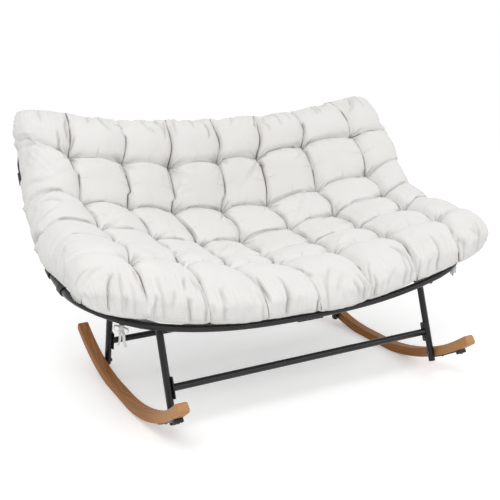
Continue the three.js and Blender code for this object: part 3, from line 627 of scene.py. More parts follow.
def joined(shapes):
    """One list of points and faces from several."""
    points, faces, start = [], [], 0
    for some_points, some_faces in shapes:
        points.append(some_points)
        faces += [[start + k for k in face] for face in some_faces]
        start += len(some_points)
    return np.concatenate(points), faces


def outward(piece):
    """Joins a piece's doubled corners and turns its faces to point outwards."""
    work = bmesh.new()
    work.from_mesh(piece.data)
    bmesh.ops.remove_doubles(work, verts=work.verts, dist=1e-6)
    bmesh.ops.recalc_face_normals(work, faces=work.faces)
    work.to_mesh(piece.data)
    work.free()
    piece.data.update()


# ---------------------------------------------------------------- the seat's shape


class SideBend:
    """A side view: straight from the front point, one bend, then straight to the back point."""

    def __init__(self, front, front_lean, back, back_lean, radius):
        self.front = np.array(front)
        self.lean = front_lean
        self.radius = radius
        self.first = np.array([math.cos(front_lean), math.sin(front_lean)])
        self.last = np.array([math.cos(back_lean), math.sin(back_lean)])
        across = np.array(back) - self.front
        seat_run = self.cross(across, self.last) / self.cross(self.first, self.last)
        corner = self.front + self.first * seat_run
        cut = radius * math.tan((back_lean - front_lean) / 2)
        start = corner - self.first * cut
        self.end = corner + self.last * cut
        self.centre = start + np.array([-self.first[1], self.first[0]]) * radius
        self.flat = seat_run - cut
        self.arc = radius * (back_lean - front_lean)
        self.length = self.flat + self.arc + np.linalg.norm(np.array(back) - corner) - cut

    @staticmethod
    def cross(a, b):
        return a[0] * b[1] - a[1] * b[0]

    def at(self, run):
        """Points and directions in the side view at distances from the front."""
        run = np.asarray(run, float)[..., None]
        angle = self.lean + (run - self.flat) / self.radius
        turned = np.concatenate([np.cos(angle), np.sin(angle)], -1)
        normal = np.stack([turned[..., 1], -turned[..., 0]], -1)
        bent = self.centre + self.radius * normal
        rising = self.end + self.last * (run - self.flat - self.arc)
        place = np.where(run <= self.flat + self.arc, bent, rising)
        place = np.where(run <= self.flat, self.front + self.first * run, place)
        heading = np.where(run <= self.flat + self.arc, turned, self.last)
        return place, np.where(run <= self.flat, self.first, heading)


SIDE = SideBend(SIDE_FRONT, 0.0, SIDE_BACK, SIDE_BACK_LEAN, SIDE_BEND)


def inside(run):
    """Distances along the seat, kept within its length."""
    return np.clip(run, 0, SIDE.length)


def half_width(run):
    """Half the hoop's width at distances along the seat."""
    return HOOP_HALF_FRONT + (HOOP_HALF_BACK - HOOP_HALF_FRONT) * run / SIDE.length


def side_share(x, run):
    """How near a place is to the hoop's side, from 0 in the middle to 1."""
    return np.minimum(1, np.abs(x) / half_width(run))


def hoop_dip(x, run):
    """How far the hoop dips below its sides at a place."""
    deepest = HOOP_DIP_FRONT + (HOOP_DIP_BACK - HOOP_DIP_FRONT) * run / SIDE.length
    return deepest * (1 - side_share(x, run) ** HOOP_DIP_POWER)


def hoop_point(x, run):
    """The place on the dipped seat at x and a distance along the seat."""
    place, _ = SIDE.at(run)
    return np.stack([x + 0 * place[..., 0], place[..., 0], place[..., 1] - hoop_dip(x, run)], -1)


def centre_rib():
    """The side view of the centre rib, from the front bar to the back bar."""
    front = hoop_point(0.0, 0.0)
    back = hoop_point(0.0, SIDE.length)
    start = (front[1], front[2] - RIB_BELOW_HOOP)
    return SideBend(start, RIB_FRONT_LEAN, (back[1], back[2]), RIB_BACK_LEAN, RIB_BEND)


def rib_depths():
    """How far the centre rib lies under the side view, and its slant to it, all along the seat."""
    stations, halvings = 240, 40
    rib = centre_rib()
    run = np.linspace(0, SIDE.length, stations)
    place, heading = SIDE.at(run)
    low, high = np.zeros(stations), np.full(stations, rib.length)
    for _ in range(halvings):
        middle = (low + high) / 2
        short = ((rib.at(middle)[0] - place) * heading).sum(-1) < 0
        low, high = np.where(short, middle, low), np.where(short, high, middle)
    found, slant = rib.at(low)
    return run, np.linalg.norm(found - place, axis=-1), (slant * heading).sum(-1)


RIB_RUN, RIB_DEPTH, RIB_SLANT = rib_depths()


def hoop_outline():
    """The right half of the hoop's centre line, from the front bar's middle to the back bar's."""
    width, length = HOOP_HALF_FRONT, SIDE.length
    corners = (
        ((width - HOOP_CORNER_FRONT, HOOP_CORNER_FRONT), HOOP_CORNER_FRONT, -90),
        ((width - HOOP_CORNER_BACK, length - HOOP_CORNER_BACK), HOOP_CORNER_BACK, 0),
    )
    path = [(0.0, 0.0)]
    for (x, run), radius, first in corners:
        for step in np.radians(np.linspace(first, first + 90, 40)):
            path.append((x + radius * math.cos(step), run + radius * math.sin(step)))
    path = np.array(path + [(0.0, length)])
    far = np.r_[0, np.cumsum(np.linalg.norm(np.diff(path, axis=0), axis=1))]
    wanted = np.linspace(0, far[-1], HOOP_POINTS)
    x, run = (np.interp(wanted, far, path[:, k]) for k in (0, 1))
    return hoop_point(x * half_width(run) / HOOP_HALF_FRONT, run)


# ---------------------------------------------------------------- the cushion's shape


def cubic_weights(fine, knots):
    """A matrix that carries values at the knots to the fine places along a smooth curve."""
    knots = np.asarray(knots, float)
    where = np.interp(fine, knots, np.arange(len(knots)))
    base = np.minimum(where.astype(int), len(knots) - 2)
    t = where - base
    weights = np.zeros((len(fine), len(knots)))
    steps = (
        (-1, (-t + 2 * t**2 - t**3) / 2),
        (0, (2 - 5 * t**2 + 3 * t**3) / 2),
        (1, (t + 4 * t**2 - 3 * t**3) / 2),
        (2, (-(t**2) + t**3) / 2),
    )
    for offset, share in steps:
        column = np.clip(base + offset, 0, len(knots) - 1)
        np.add.at(weights, (np.arange(len(fine)), column), share)
    return weights


def grid_lines(panels, per_panel):
    """Grid lines over the panels, closer together where the cover turns round its edge."""
    even = np.linspace(0, 1, per_panel + 1)
    crowded = CROWDING * (1 - np.cos(even * math.pi / 2)) + (1 - CROWDING) * even
    lines = [crowded[:-1]]
    lines += [k + even[:-1] for k in range(1, panels - 1)]
    return np.concatenate(lines + [panels - crowded[::-1]])


class CoverGrid:
    """The cover as a grid of panels: a counts columns from the left, b rows from the front."""

    def __init__(self, per_column, per_row):
        self.a_lines = grid_lines(COLUMNS, per_column)
        self.b_lines = grid_lines(ROWS, per_row)
        self.a, self.b = np.meshgrid(self.a_lines, self.b_lines, indexing="ij")
        shift = np.zeros((COLUMNS + 1, ROWS + 1, 2))
        shift[1:-1, 1:-1] = np.array(TUFT_SHIFT).transpose(1, 0, 2) / 1000
        shift[0, 1:-1, 1] = np.array(SEAM_SHIFT_LEFT) / 1000
        shift[-1, 1:-1, 1] = np.array(SEAM_SHIFT_RIGHT) / 1000
        along_a = cubic_weights(self.a_lines, np.arange(COLUMNS + 1))
        along_b = cubic_weights(self.b_lines, np.arange(ROWS + 1))
        moved = np.einsum("ip,jq,pqc->ijc", along_a, along_b, shift)
        self.u = self.a / COLUMNS + moved[..., 0]
        self.v = self.b / ROWS + moved[..., 1]
        # Between two tufts a lengthwise seam bows to the right, a crosswise one to the back.
        lower = smooth_step(self.b / BOW_ROWS)
        upper = smooth_step((ROWS - self.b) / BOW_ROWS)
        inner = np.sin(math.pi * self.a / COLUMNS) ** 0.5 * lower
        self.u = self.u + SEAM_BOW * np.sin(math.pi * (self.b % 1)) * inner * upper
        cross_bow = CROSS_SEAM_BOW * np.sin(math.pi * (self.a % 1)) * lower * upper
        for from_side in (self.a, COLUMNS - self.a):
            cross_bow = cross_bow * smooth_step(from_side / BOW_COLUMNS)
        self.v = self.v + cross_bow

    def seams(self):
        """Distance to the nearest lengthwise and crosswise seam, in panels, the edges left out."""
        along = np.abs(self.a - np.clip(np.round(self.a), 1, COLUMNS - 1))
        cross = np.abs(self.b - np.clip(np.round(self.b), 1, ROWS - 1))
        return np.minimum(along, 0.5), np.minimum(cross, 0.5)

    def spread(self, coarse, values):
        """Values on a coarser grid carried to this one."""
        along_a = cubic_weights(self.a_lines, coarse.a_lines)
        along_b = cubic_weights(self.b_lines, coarse.b_lines)
        return np.einsum("ip,jq,pqc->ijc", along_a, along_b, values)


def edge_round(share):
    """1 over most of the cushion, falling to 0 at its edge."""
    return np.sqrt(np.maximum(0, 1 - np.abs(share) ** SQUARENESS))


def cover_point(grid, rise, top, puff):
    """Points of the cover's top or bottom sheet, for a rise from 0 at a tuft to 1 at a puff."""
    across, along = 2 * grid.u - 1, 2 * grid.v - 1
    draw_in = CORNER_DRAW_IN * np.abs(across * along) ** SQUARENESS
    bow = ROW_BOW * across**2 * np.sin(math.pi * grid.v)
    span = SIDE.length + BACK_OVERHANG + FRONT_OVERHANG
    flat = -FRONT_OVERHANG + span * grid.v - bow - np.sign(along) * draw_in
    x = across * (half_width(inside(flat)) + SIDE_OVERHANG - draw_in)
    run = flat - hoop_dip(x, inside(flat)) * SIDE.at(flat)[1][..., 1]
    place, heading = SIDE.at(run)
    sag = 1 - side_share(x, inside(run)) ** CUSHION_SAG_POWER
    depth = np.interp(inside(run), RIB_RUN, RIB_DEPTH)
    slant = np.interp(inside(run), RIB_RUN, RIB_SLANT)
    base = CUSHION_LIFT * (1 - sag + sag / slant) - depth * sag
    tuft = TUFT_THICKNESS + TUFT_SIDE_EXTRA * np.abs(across) ** SIDE_EXTRA_POWER
    rim = RIM_SHARE * tuft
    edge = edge_round(across) * edge_round(along)
    if top:
        height = base + rim + edge * (tuft + puff * rise - rim)
    else:
        height = base + rim + edge * (UNDER_BULGE * (1 - rise) - rim)
    points = np.stack(
        [x, place[..., 0] - heading[..., 1] * height, place[..., 1] + heading[..., 0] * height], -1
    )
    # The front roll hangs a little over the hoop. Under the cushion it still lies on the tube.
    if top:
        hang = smooth_step((FRONT_ROLL_ROWS - grid.b) / FRONT_ROLL_ROWS)
    else:
        hang = smooth_step((UNDER_ROLL_ROWS - grid.b) / UNDER_ROLL_FADE)
    sink = FRONT_SINK_LEFT + (FRONT_SINK_RIGHT - FRONT_SINK_LEFT) * smooth_step(grid.u)
    points[..., 2] -= sink * hang
    for column, row, reach_a, reach_b, move in HAND_SHAPING:
        near = np.exp(-(((grid.a - column) / reach_a) ** 2) - ((grid.b - row) / reach_b) ** 2)
        points += near[..., None] * np.array(move)
    return points


def puff_shape(grid, seams):
    """How high the cover stands between its tufts, from 0 at a tuft to 1 in a panel's middle."""
    lengthwise, crosswise = seams
    along, cross = grid.seams()
    valley_a = 1 - (1 - (1 - 2 * along) ** PUFF_ROUNDNESS) ** 0.5
    valley_b = 1 - (1 - (1 - 2 * cross) ** PUFF_ROUNDNESS) ** 0.5
    depth_a = lengthwise + (1 - lengthwise) * (1 - 2 * cross) ** 2
    depth_b = crosswise + (1 - crosswise) * (1 - 2 * along) ** 2
    return 1 - np.maximum(valley_a * depth_a, valley_b * depth_b)


def cover_sheets(grid, puff):
    """The cover's top and bottom sheet as they are sewn, with their puffs."""
    top = cover_point(grid, puff_shape(grid, TOP_SEAMS), True, puff)
    return top, cover_point(grid, puff_shape(grid, UNDER_SEAMS), False, puff)


def tufts(grid, top):
    """Each tuft's column, row and place in the grid, and its heading to the right."""
    for column in range(1, COLUMNS):
        for row in range(1, ROWS):
            i = np.abs(grid.a_lines - column).argmin()
            j = np.abs(grid.b_lines - row).argmin()
            yield column, row, i, j, unit(top[i + 1, j] - top[i - 1, j])


def face_normals(points):
    """Normals of a sheet of grid points, on its upper side."""
    return unit(np.cross(np.gradient(points, axis=0), np.gradient(points, axis=1)))


def pillow_mesh(grid, top, bottom, skip=1):
    """The closed cover: its points and faces, and each sheet's grid as numbers of the points.

    The sheets share the rim. The bottom sheet keeps every skip-th grid line only.
    """
    columns, rows = grid.a.shape
    upper = np.arange(columns * rows).reshape(columns, rows)
    lower = upper[::skip, ::skip].copy()
    wide, long = lower.shape
    inner = bottom[::skip, ::skip][1:-1, 1:-1].reshape(-1, 3)
    lower[1:-1, 1:-1] = columns * rows + np.arange(len(inner)).reshape(wide - 2, long - 2)
    quads = np.stack([upper[:-1, :-1], upper[1:, :-1], upper[1:, 1:], upper[:-1, 1:]], -1)
    faces = quads.reshape(-1, 4).tolist()
    for i in range(wide - 1):
        for j in range(long - 1):
            ring = []
            corners = ((i, j), (i + 1, j), (i + 1, j + 1), (i, j + 1), (i, j))
            for (i0, j0), (i1, j1) in zip(corners[:-1], corners[1:]):
                ring.append(int(lower[i0, j0]))
                on_side = i0 == i1 and i0 in (0, wide - 1)
                on_end = j0 == j1 and j0 in (0, long - 1)
                for step in range(1, skip if on_side or on_end else 1):
                    place = (i0 * skip + (i1 - i0) * step, j0 * skip + (j1 - j0) * step)
                    ring.append(int(upper[place]))
            faces.append(ring[::-1])
    return np.concatenate([top.reshape(-1, 3), inner]), faces, upper, lower


def blown_up(grid, top, bottom, settings):
    """Fills the sewn cover with air in a cloth simulation and returns how both sheets moved."""
    points, faces, upper, lower = pillow_mesh(grid, top, bottom)
    mesh = bpy.data.meshes.new("cover_in_work")
    mesh.from_pydata(points.tolist(), [], faces)
    cover = bpy.data.objects.new("cover_in_work", mesh)
    bpy.context.scene.collection.objects.link(cover)
    along, cross = grid.seams()
    seam = np.maximum(np.exp(-((along / HELD_REACH) ** 2)), np.exp(-((cross / HELD_REACH) ** 2)))
    tuft = np.exp(-(along**2 + cross**2) / HELD_REACH**2)
    weights = np.zeros(len(points))
    weights[lower] = HELD_UNDER
    weights[upper] = np.clip(HELD_SEAM * seam + tuft, 0, 1)
    rim = np.ones(grid.a.shape, bool)
    rim[1:-1, 1:-1] = False
    weights[upper[rim]] = HELD_RIM
    group = cover.vertex_groups.new(name=CLOTH_SETTINGS["vertex_group_mass"])
    for index, weight in enumerate(weights):
        if weight > LEAST_HOLD:
            group.add([index], float(weight), "REPLACE")
    cloth = cover.modifiers.new("Cover", "CLOTH")
    for key, value in CLOTH_SETTINGS.items():
        setattr(cloth.settings, key, value)
    cloth.settings.uniform_pressure_force = settings.pressure
    cloth.settings.effector_weights.gravity = 0
    cloth.collision_settings.use_collision = False
    cloth.collision_settings.use_self_collision = False
    cloth.point_cache.frame_start = 1
    cloth.point_cache.frame_end = CLOTH_FRAMES
    scene = bpy.context.scene
    for step in range(1, CLOTH_FRAMES + 1):
        scene.frame_set(step)
    settled = cover.evaluated_get(bpy.context.evaluated_depsgraph_get()).to_mesh()
    moved = np.zeros(len(points) * 3)
    settled.vertices.foreach_get("co", moved)
    moved = moved.reshape(-1, 3) - points
    far = np.linalg.norm(moved, axis=1, keepdims=True)
    moved = moved * (LARGEST_MOVE * np.tanh(far / LARGEST_MOVE) / np.maximum(far, 1e-9))
    cover.evaluated_get(bpy.context.evaluated_depsgraph_get()).to_mesh_clear()
    bpy.data.objects.remove(cover)
    scene.frame_set(1)
    return moved[upper], moved[lower]


def fold(across, depth):
    """A narrow valley with a soft ridge on either side."""
    ridge_height, ridge_place, ridge_width = 0.45, 2.1, 1.1
    ridge = np.exp(-(((np.abs(across) - ridge_place) / ridge_width) ** 2))
    return depth * (ridge_height * ridge - np.exp(-(across**2)))


def pinch_folds(grid, top, depth):
    """Small folds that run out of each tuft."""
    folds_per_tuft, reach_in_panels, start_of_fold = 7, 0.6, 0.010
    reaches, widths, strengths = (0.022, 0.050), (0.10, 0.20), (0.4, 1.0)
    rng = np.random.default_rng(11)
    height = np.zeros(grid.a.shape)
    for column, row, i, j, right in tufts(grid, top):
        near = np.abs(grid.a - column) < reach_in_panels
        near &= np.abs(grid.b - row) < reach_in_panels
        away = (top - top[i, j])[near]
        ahead = unit(top[i, j + 1] - top[i, j - 1])
        x, y = away @ right, away @ ahead
        far = np.hypot(x, y)
        angle = np.arctan2(y, x)
        total = np.zeros_like(far)
        for _ in range(folds_per_tuft):
            heading = rng.uniform(-math.pi, math.pi)
            reach = rng.uniform(*reaches)
            swing = (angle - heading + math.pi) % (2 * math.pi) - math.pi
            width = rng.uniform(*widths)
            fades = smooth_step(far / start_of_fold) * np.exp(-((far / reach) ** 2))
            total += fold(swing / width, rng.uniform(*strengths)) * fades
        height[near] += depth * total
    return height


def stroke(grid, a0, b0, a1, b1, depth, width, bend):
    """One crease: its height over the grid, and its mask of painted shade, which both fade at its
    ends.
    """
    shortest, past_end, full_dark = 0.008, 0.06, 0.006
    start = np.array([a0 * PANEL_WIDTH, b0 * PANEL_LENGTH])
    run = np.array([a1 * PANEL_WIDTH, b1 * PANEL_LENGTH]) - start
    length = max(np.linalg.norm(run), shortest)
    x = grid.a * PANEL_WIDTH - start[0]
    y = grid.b * PANEL_LENGTH - start[1]
    share = (x * run[0] + y * run[1]) / length**2
    inner = np.clip(share, 0, 1)
    across = (x * run[1] - y * run[0]) / length - bend * length * np.sin(math.pi * inner)
    fades = np.clip((share + past_end) / (1 + 2 * past_end), 0, 1)
    fades = np.sqrt(np.sin(math.pi * fades))
    mask = fades * np.exp(-((across / width) ** 2))
    return fold(across / width, depth) * fades, mask * min(1.0, depth / full_dark)


def scattered(rng, count, first, run, reaches, lean, strengths):
    """Places spread along an edge, each with the reach, lean and strength of a crease."""
    for k in range(count):
        place = first + run * (k + rng.uniform(0, 1)) / count
        yield place, rng.uniform(*reaches), rng.normal(0, lean), rng.uniform(*strengths)


def edge_creases(rng, depth):
    """Small creases along the front, the back and the two sides, at random places."""
    for a, reach, lean, strength in scattered(rng, 16, 0.3, 7.4, (0.12, 0.34), 0.06, (0.3, 0.6)):
        yield a, reach, a + lean, -PAST_RIM, strength * depth
    for a, reach, lean, strength in scattered(rng, 14, 0.4, 7.2, (0.2, 0.45), 0.08, (0.25, 0.5)):
        yield a, ROWS + PAST_RIM, a + lean, ROWS - reach, strength * depth
    for edge, inwards in ((0, 1), (COLUMNS, -1)):
        side = scattered(rng, 10, 0.7, 4.9, (0.18, 0.5), 0.1, (0.15, 0.35))
        for b, reach, lean, strength in side:
            start = edge + inwards * 0.03
            yield start, b, edge + inwards * reach, b + lean, strength * depth


def all_creases(grid, depth):
    """Every crease: the ones that the bench is known by, and small ones along the edges."""
    wide, narrow, pale, bends = (0.0062, 0.0080), (0.0034, 0.0048), 0.4, 0.07
    rng = np.random.default_rng(5)
    strokes = [(a0, b0, a1, b1, mm / 1000) for a0, b0, a1, b1, mm in CREASES]
    strokes += edge_creases(rng, depth)
    # The creases' heights, and the painted shade in them.
    height, dark = np.zeros(grid.a.shape), np.zeros(grid.a.shape)
    for a0, b0, a1, b1, deep in strokes:
        # A crease that runs across the cushion is wider and has paler painted shade than one that
        # runs along it.
        crosswise = abs(a0 - a1) > abs(b0 - b1)
        width = rng.uniform(*(wide if crosswise else narrow))
        one, mask = stroke(grid, a0, b0, a1, b1, deep, width, rng.normal(0, bends))
        height += one
        dark = np.maximum(dark, mask * (pale if crosswise else 1.0))
    return height, dark


def soft_waves(points, depth):
    """Gentle unevenness of the filling."""
    waves, lengths = 26, (0.07, 0.22)
    rng = np.random.default_rng(3)
    height = np.zeros(points.shape[:-1])
    for _ in range(waves):
        direction = unit(rng.normal(size=3))
        length = rng.uniform(*lengths)
        height += np.sin(points @ direction * (2 * math.pi / length) + rng.uniform(0, 6.3))
    return depth * height / math.sqrt(waves)


def seam_distances(grid):
    """Each point's distance in metres to the nearest lengthwise and crosswise seam."""
    along, cross = grid.seams()
    return np.stack([along * PANEL_WIDTH, cross * SEAM_PANEL_LENGTH, 0 * along], -1)


def tuft_offsets(grid):
    """Each point's place in metres as seen from its nearest tuft, with a number for that tuft."""
    column = np.clip(np.round(grid.a), 1, COLUMNS - 1)
    row = np.clip(np.round(grid.b), 1, ROWS - 1)
    number = column * 3.7 + row * 8.3
    x, y = (grid.a - column) * PANEL_WIDTH, (grid.b - row) * SEAM_PANEL_LENGTH
    return np.stack([x, y, number], -1)


def by_vertex(values, count, upper, lower=None):
    """Values on the grid in the order of the cover's points, 0 underneath if lower isn't given."""
    both = np.zeros((count, *values.shape[2:]))
    if lower is not None:
        both[lower] = values[::UNDER_SKIP, ::UNDER_SKIP]
    both[upper] = values
    return both


# ---------------------------------------------------------------- finishes


def fabric_finish(settings):
    """An off-white plain weave, brushed a little, with painted shade in its creases, seams and
    tufts.
    """
    made = Finish(
        "Off-white canvas",
        {"Sheen Weight": 0.25, "Sheen Roughness": 0.55, "Specular IOR Level": 0.25},
    )
    u, v, _ = made.split(made.node("ShaderNodeTexCoord", output="UV"))
    turn = math.pi / settings.yarn_pitch
    weave = made.maths("SINE", u * turn) * made.maths("SINE", v * turn) * 0.5 + 0.5
    slub = made.noise(1.0, 2.0, 0.5, made.vector(u * 900, v * 60, 0.0))
    slub_across = made.noise(1.0, 2.0, 0.5, made.vector(u * 60, v * 900, 3.0))
    cloudy = made.noise(9.0, 2.0, 0.5)
    fine = made.noise(260.0, 3.0, 0.6)
    rumple = made.noise(55.0, 4.0, 0.55)
    # Seams: thin lines of painted shade where the cover closes over itself, broken here and there.
    to_seam, to_cross_seam, _ = made.split(made.attribute("seam"))
    uneven = made.noise(14.0, 2.0, 0.5)
    uneven_cross = made.noise(11.0, 2.0, 0.5, made.vector(made.x + 3.0, made.y, made.z))
    seam = made.between(to_seam, 0.0042, 0.0004) * made.between(uneven, 0.30, 0.60)
    cross_seam = made.between(to_cross_seam, 0.0036, 0.0004)
    cross_seam = cross_seam * made.between(uneven_cross, 0.40, 0.70)
    # Tufts: folds that run straight out of the stitch, with painted shade in them and in the tuft's
    # hollow.
    x, y, tuft = made.split(made.attribute("tuft"))
    far = made.maths("SQRT", x * x + y * y) + 0.0005
    ray = made.noise(1.0, 2.0, 0.6, made.vector(x / far * 2.6, y / far * 2.6, tuft))
    pull = made.line(ray, 0.035) * made.between(far, 0.062, 0.012)
    knot = made.between(far, 0.0075, 0.0015)
    # Creases: painted shade where the mesh is folded deep.
    crease = made.node("ShaderNodeAttribute", {"attribute_name": "fold"}, output="Fac")
    # Fine pleats where the cover is gathered into the edge seam, at places on the flat cloth.
    ends = made.maths("MAXIMUM", made.between(v, 0.14, 0.05), made.between(v, 1.32, 1.39))
    sides = made.maths("MAXIMUM", made.between(u, 0.12, 0.03), made.between(u, 1.34, 1.43))
    pleats = made.noise(1.0, 2.0, 0.5, made.vector(u * 130, v * 13, 5.0)) * ends
    side_pleats = made.noise(1.0, 2.0, 0.5, made.vector(u * 13, v * 100, 8.0)) * sides
    lines = made.maths("MAXIMUM", seam, cross_seam * 0.8)
    colour = settings.fabric_colour
    base = made.blend(made.between(cloudy, 0.3, 0.7), shade(colour, 0.975), colour)
    yarns = made.blend((slub + slub_across) * 0.5, shade(colour, 0.93), base)
    # Painted shade: seams, tuft folds, tuft hollows and creases are darkened towards the crease
    # shade colour.
    depth = made.maths("MAXIMUM", lines * 0.95, made.maths("MAXIMUM", pull * 0.28, crease * 0.46))
    shaded = made.blend(made.maths("MAXIMUM", depth, knot * 0.8), yarns, settings.crease_shade_colour)
    made.set(Base_Color=shaded, Roughness=0.80 + 0.12 * fine)
    made.relief(
        [
            (1 - pull, 0.0030, 0.8),
            (1 - lines, 0.0030, 0.7),
            (rumple, 0.0035, 0.35),
            (pleats + side_pleats * 0.5, 0.0060, 0.8),
            (weave, 0.00022, 0.5),
            (slub + slub_across, 0.00018, 0.5),
        ]
    )
    return made.material


def tape_finish(settings):
    """Cotton tape with a fine twill."""
    made = Finish("Cotton tape", {"Sheen Weight": 0.25, "Specular IOR Level": 0.25})
    twill = made.maths("SINE", (made.x + made.y + made.z * 1.6) * 3600.0) * 0.5 + 0.5
    soft = made.noise(120.0, 3.0)
    pale, deep = (shade(settings.fabric_colour, factor) for factor in (0.97, 0.78))
    colour = made.blend(soft * 0.6 + twill * 0.2, pale, deep)
    made.set(Base_Color=colour, Roughness=0.80 + 0.1 * soft)
    made.relief([(soft, 0.0008, 0.4), (twill, 0.00015, 0.5)])
    return made.material


def thread_finish(settings):
    """Twisted sewing thread, a little warmer than the cover."""
    made = Finish("Sewing thread", {"Sheen Weight": 0.2, "Specular IOR Level": 0.3})
    twist = made.maths("SINE", (made.x + made.y * 0.7 + made.z * 1.3) * 5200.0) * 0.5 + 0.5
    fuzz = made.noise(1400.0, 2.0)
    deep, pale = (shade(settings.fabric_colour, factor) for factor in (0.72, 1.0))
    colour = made.blend(twist * 0.6 + fuzz * 0.3, deep, pale)
    made.set(Base_Color=colour, Roughness=0.7 + 0.2 * fuzz)
    made.relief([(twist, 0.0002, 0.5)])
    return made.material


def steel_finish(settings):
    """Black powder coat with its fine orange peel, dusted and rubbed here and there."""
    made = Finish(
        "Black powder coat", {"Coat Roughness": 0.15, "IOR": 1.5, "Specular IOR Level": 0.32}
    )
    peel = made.noise(650.0, 2.0, 0.45)
    grit = made.noise(2600.0, 2.0, 0.5)
    cloudy = made.noise(14.0, 3.0, 0.55)
    rub = made.between(made.noise(38.0, 5.0, 0.7), 0.62, 0.78)
    colour = made.blend(rub * 0.35 + cloudy * 0.25, settings.coating_colour, (0.022, 0.022, 0.024))
    made.set(
        Base_Color=colour,
        Roughness=0.21 + 0.05 * cloudy + 0.10 * rub + 0.03 * peel,
        Coat_Weight=0.05 - 0.05 * rub,
    )
    made.relief([(peel, 0.00012, 0.25), (grit, 0.00004, 0.20)])
    return made.material


def fastener_finish():
    """Zinc-plated steel, blackened, with turning marks and worn high spots."""
    made = Finish("Blackened zinc", {"IOR": 1.6})
    brushed = made.noise(1.0, 3.0, 0.6, made.vector(made.x * 700, made.y * 2600, made.z * 2600))
    spots = made.between(made.noise(420.0, 3.0, 0.6), 0.5, 0.75)
    colour = made.blend(spots * 0.6 + brushed * 0.2, (0.05, 0.05, 0.055), (0.24, 0.24, 0.25))
    made.set(Base_Color=colour, Metallic=0.75 + 0.2 * spots, Roughness=0.30 + 0.18 * brushed)
    made.relief([(brushed, 0.00006, 0.5)])
    return made.material


def wood_finish(settings):
    """Bent hardwood: growth rings and pores that follow the rocker's curve, under a satin oil."""
    made = Finish(
        "Oiled hardwood", {"Coat Roughness": 0.32, "IOR": 1.48, "Specular IOR Level": 0.2}
    )
    ahead, up = made.y - ROCKER_MIDDLE_Y, ROCKER_RADIUS - made.z
    depth = ROCKER_RADIUS - made.maths("SQRT", ahead * ahead + up * up)
    along = made.maths("ARCTAN2", ahead, up) * ROCKER_RADIUS
    side = made.maths("SIGN", made.x)
    wander = made.noise(1.0, 3.0, 0.5, made.vector(made.x * 24, depth * 24, along * 5.0))
    across_rings = depth * 1.0 + made.x * 0.42 + wander * 0.016 + side * 0.004
    ring = made.between(made.maths("SINE", across_rings * 980.0), -0.7, 0.95)
    streak = made.noise(1.0, 4.0, 0.6, made.vector(made.x * 420, depth * 420, along * 9.0))
    speckle = made.noise(1.0, 2.0, 0.6, made.vector(made.x * 1500, depth * 1500, along * 42.0))
    pores = made.between(speckle, 0.56, 0.72)
    broad = made.noise(1.0, 2.0, 0.5, made.vector(made.x * 30, depth * 30, along * 2.4))
    light = settings.wood_light
    mid = made.blend(made.between(broad, 0.3, 0.7), light, shade(light, 0.74))
    ringed = made.blend(ring * 0.45 + streak * 0.30, mid, settings.wood_dark)
    # Painted light: the front ends are paler, as they face the light.
    worn = made.blend(made.between(along, -0.22, -0.46) * 0.40, ringed, (0.66, 0.40, 0.21))
    pored = made.blend(pores * 0.55, worn, shade(settings.wood_dark, 0.5))
    made.set(
        Base_Color=pored,
        Roughness=0.46 + 0.16 * streak + 0.15 * pores,
        Coat_Weight=0.03 - 0.03 * pores,
    )
    made.relief([(1 - pores, 0.00022, 0.45), (streak, 0.00030, 0.25)])
    return made.material


def webbing_finish(settings):
    """Woven webbing: ribs across the strap and a fine yarn texture."""
    made = Finish("Woven webbing", {"Sheen Weight": 0.15, "Specular IOR Level": 0.4})
    rib_pitch, row_pitch = 0.0022, 0.0035
    ribs = made.maths("SINE", made.x * (2 * math.pi / rib_pitch)) * 0.5 + 0.5
    rows = made.maths("SINE", (made.y + made.z) * (2 * math.pi / row_pitch)) * 0.5 + 0.5
    fuzz = made.noise(1600.0, 2.0, 0.6)
    deep, pale = (shade(settings.webbing_colour, factor) for factor in (0.6, 1.9))
    colour = made.blend(ribs * 0.5 + fuzz * 0.4, deep, pale)
    made.set(Base_Color=colour, Roughness=0.62 + 0.2 * fuzz)
    made.relief([(ribs * rows, 0.0006, 0.6), (fuzz, 0.0001, 0.4)])
    return made.material


def moulded_finish(name, colour, roughness, grain):
    """A moulded black part with a fine tool grain."""
    made = Finish(name, {"IOR": 1.49})
    pebble = made.noise(grain, 2.0, 0.5)
    scuffs = made.between(made.noise(60.0, 4.0, 0.7), 0.58, 0.8)
    tone = made.blend(scuffs * 0.6 + pebble * 0.2, colour, shade(colour, 2.6))
    made.set(Base_Color=tone, Roughness=roughness + 0.12 * pebble + 0.1 * scuffs)
    made.relief([(pebble, 0.00020, 0.5)])
    return made.material


# ---------------------------------------------------------------- geometry nodes


class ShapeTree(Nodes):
    """A geometry node tree with named inputs."""

    def __init__(self, name, numbers):
        super().__init__(bpy.data.node_groups.new(name, "GeometryNodeTree"))
        face = self.tree.interface
        face.new_socket("Geometry", in_out="INPUT", socket_type="NodeSocketGeometry")
        self.ids = {}
        for label, (kind, default) in numbers.items():
            socket = face.new_socket(label, in_out="INPUT", socket_type=kind)
            socket.default_value = default
            self.ids[label] = socket.identifier
        face.new_socket("Geometry", in_out="OUTPUT", socket_type="NodeSocketGeometry")
        self.entry = self.add("NodeGroupInput")
        self.exit = self.add("NodeGroupOutput")

    def given(self, label):
        return Value(self, self.entry.outputs[label])

    def close(self, geometry):
        self.feed(self.exit.inputs[0], geometry)

    def use(self, piece, numbers):
        """Adds the tree to a piece as a modifier with these inputs."""
        modifier = piece.modifiers.new(self.tree.name, "NODES")
        modifier.node_group = self.tree
        for label, value in numbers.items():
            modifier[self.ids[label]] = value
        return modifier


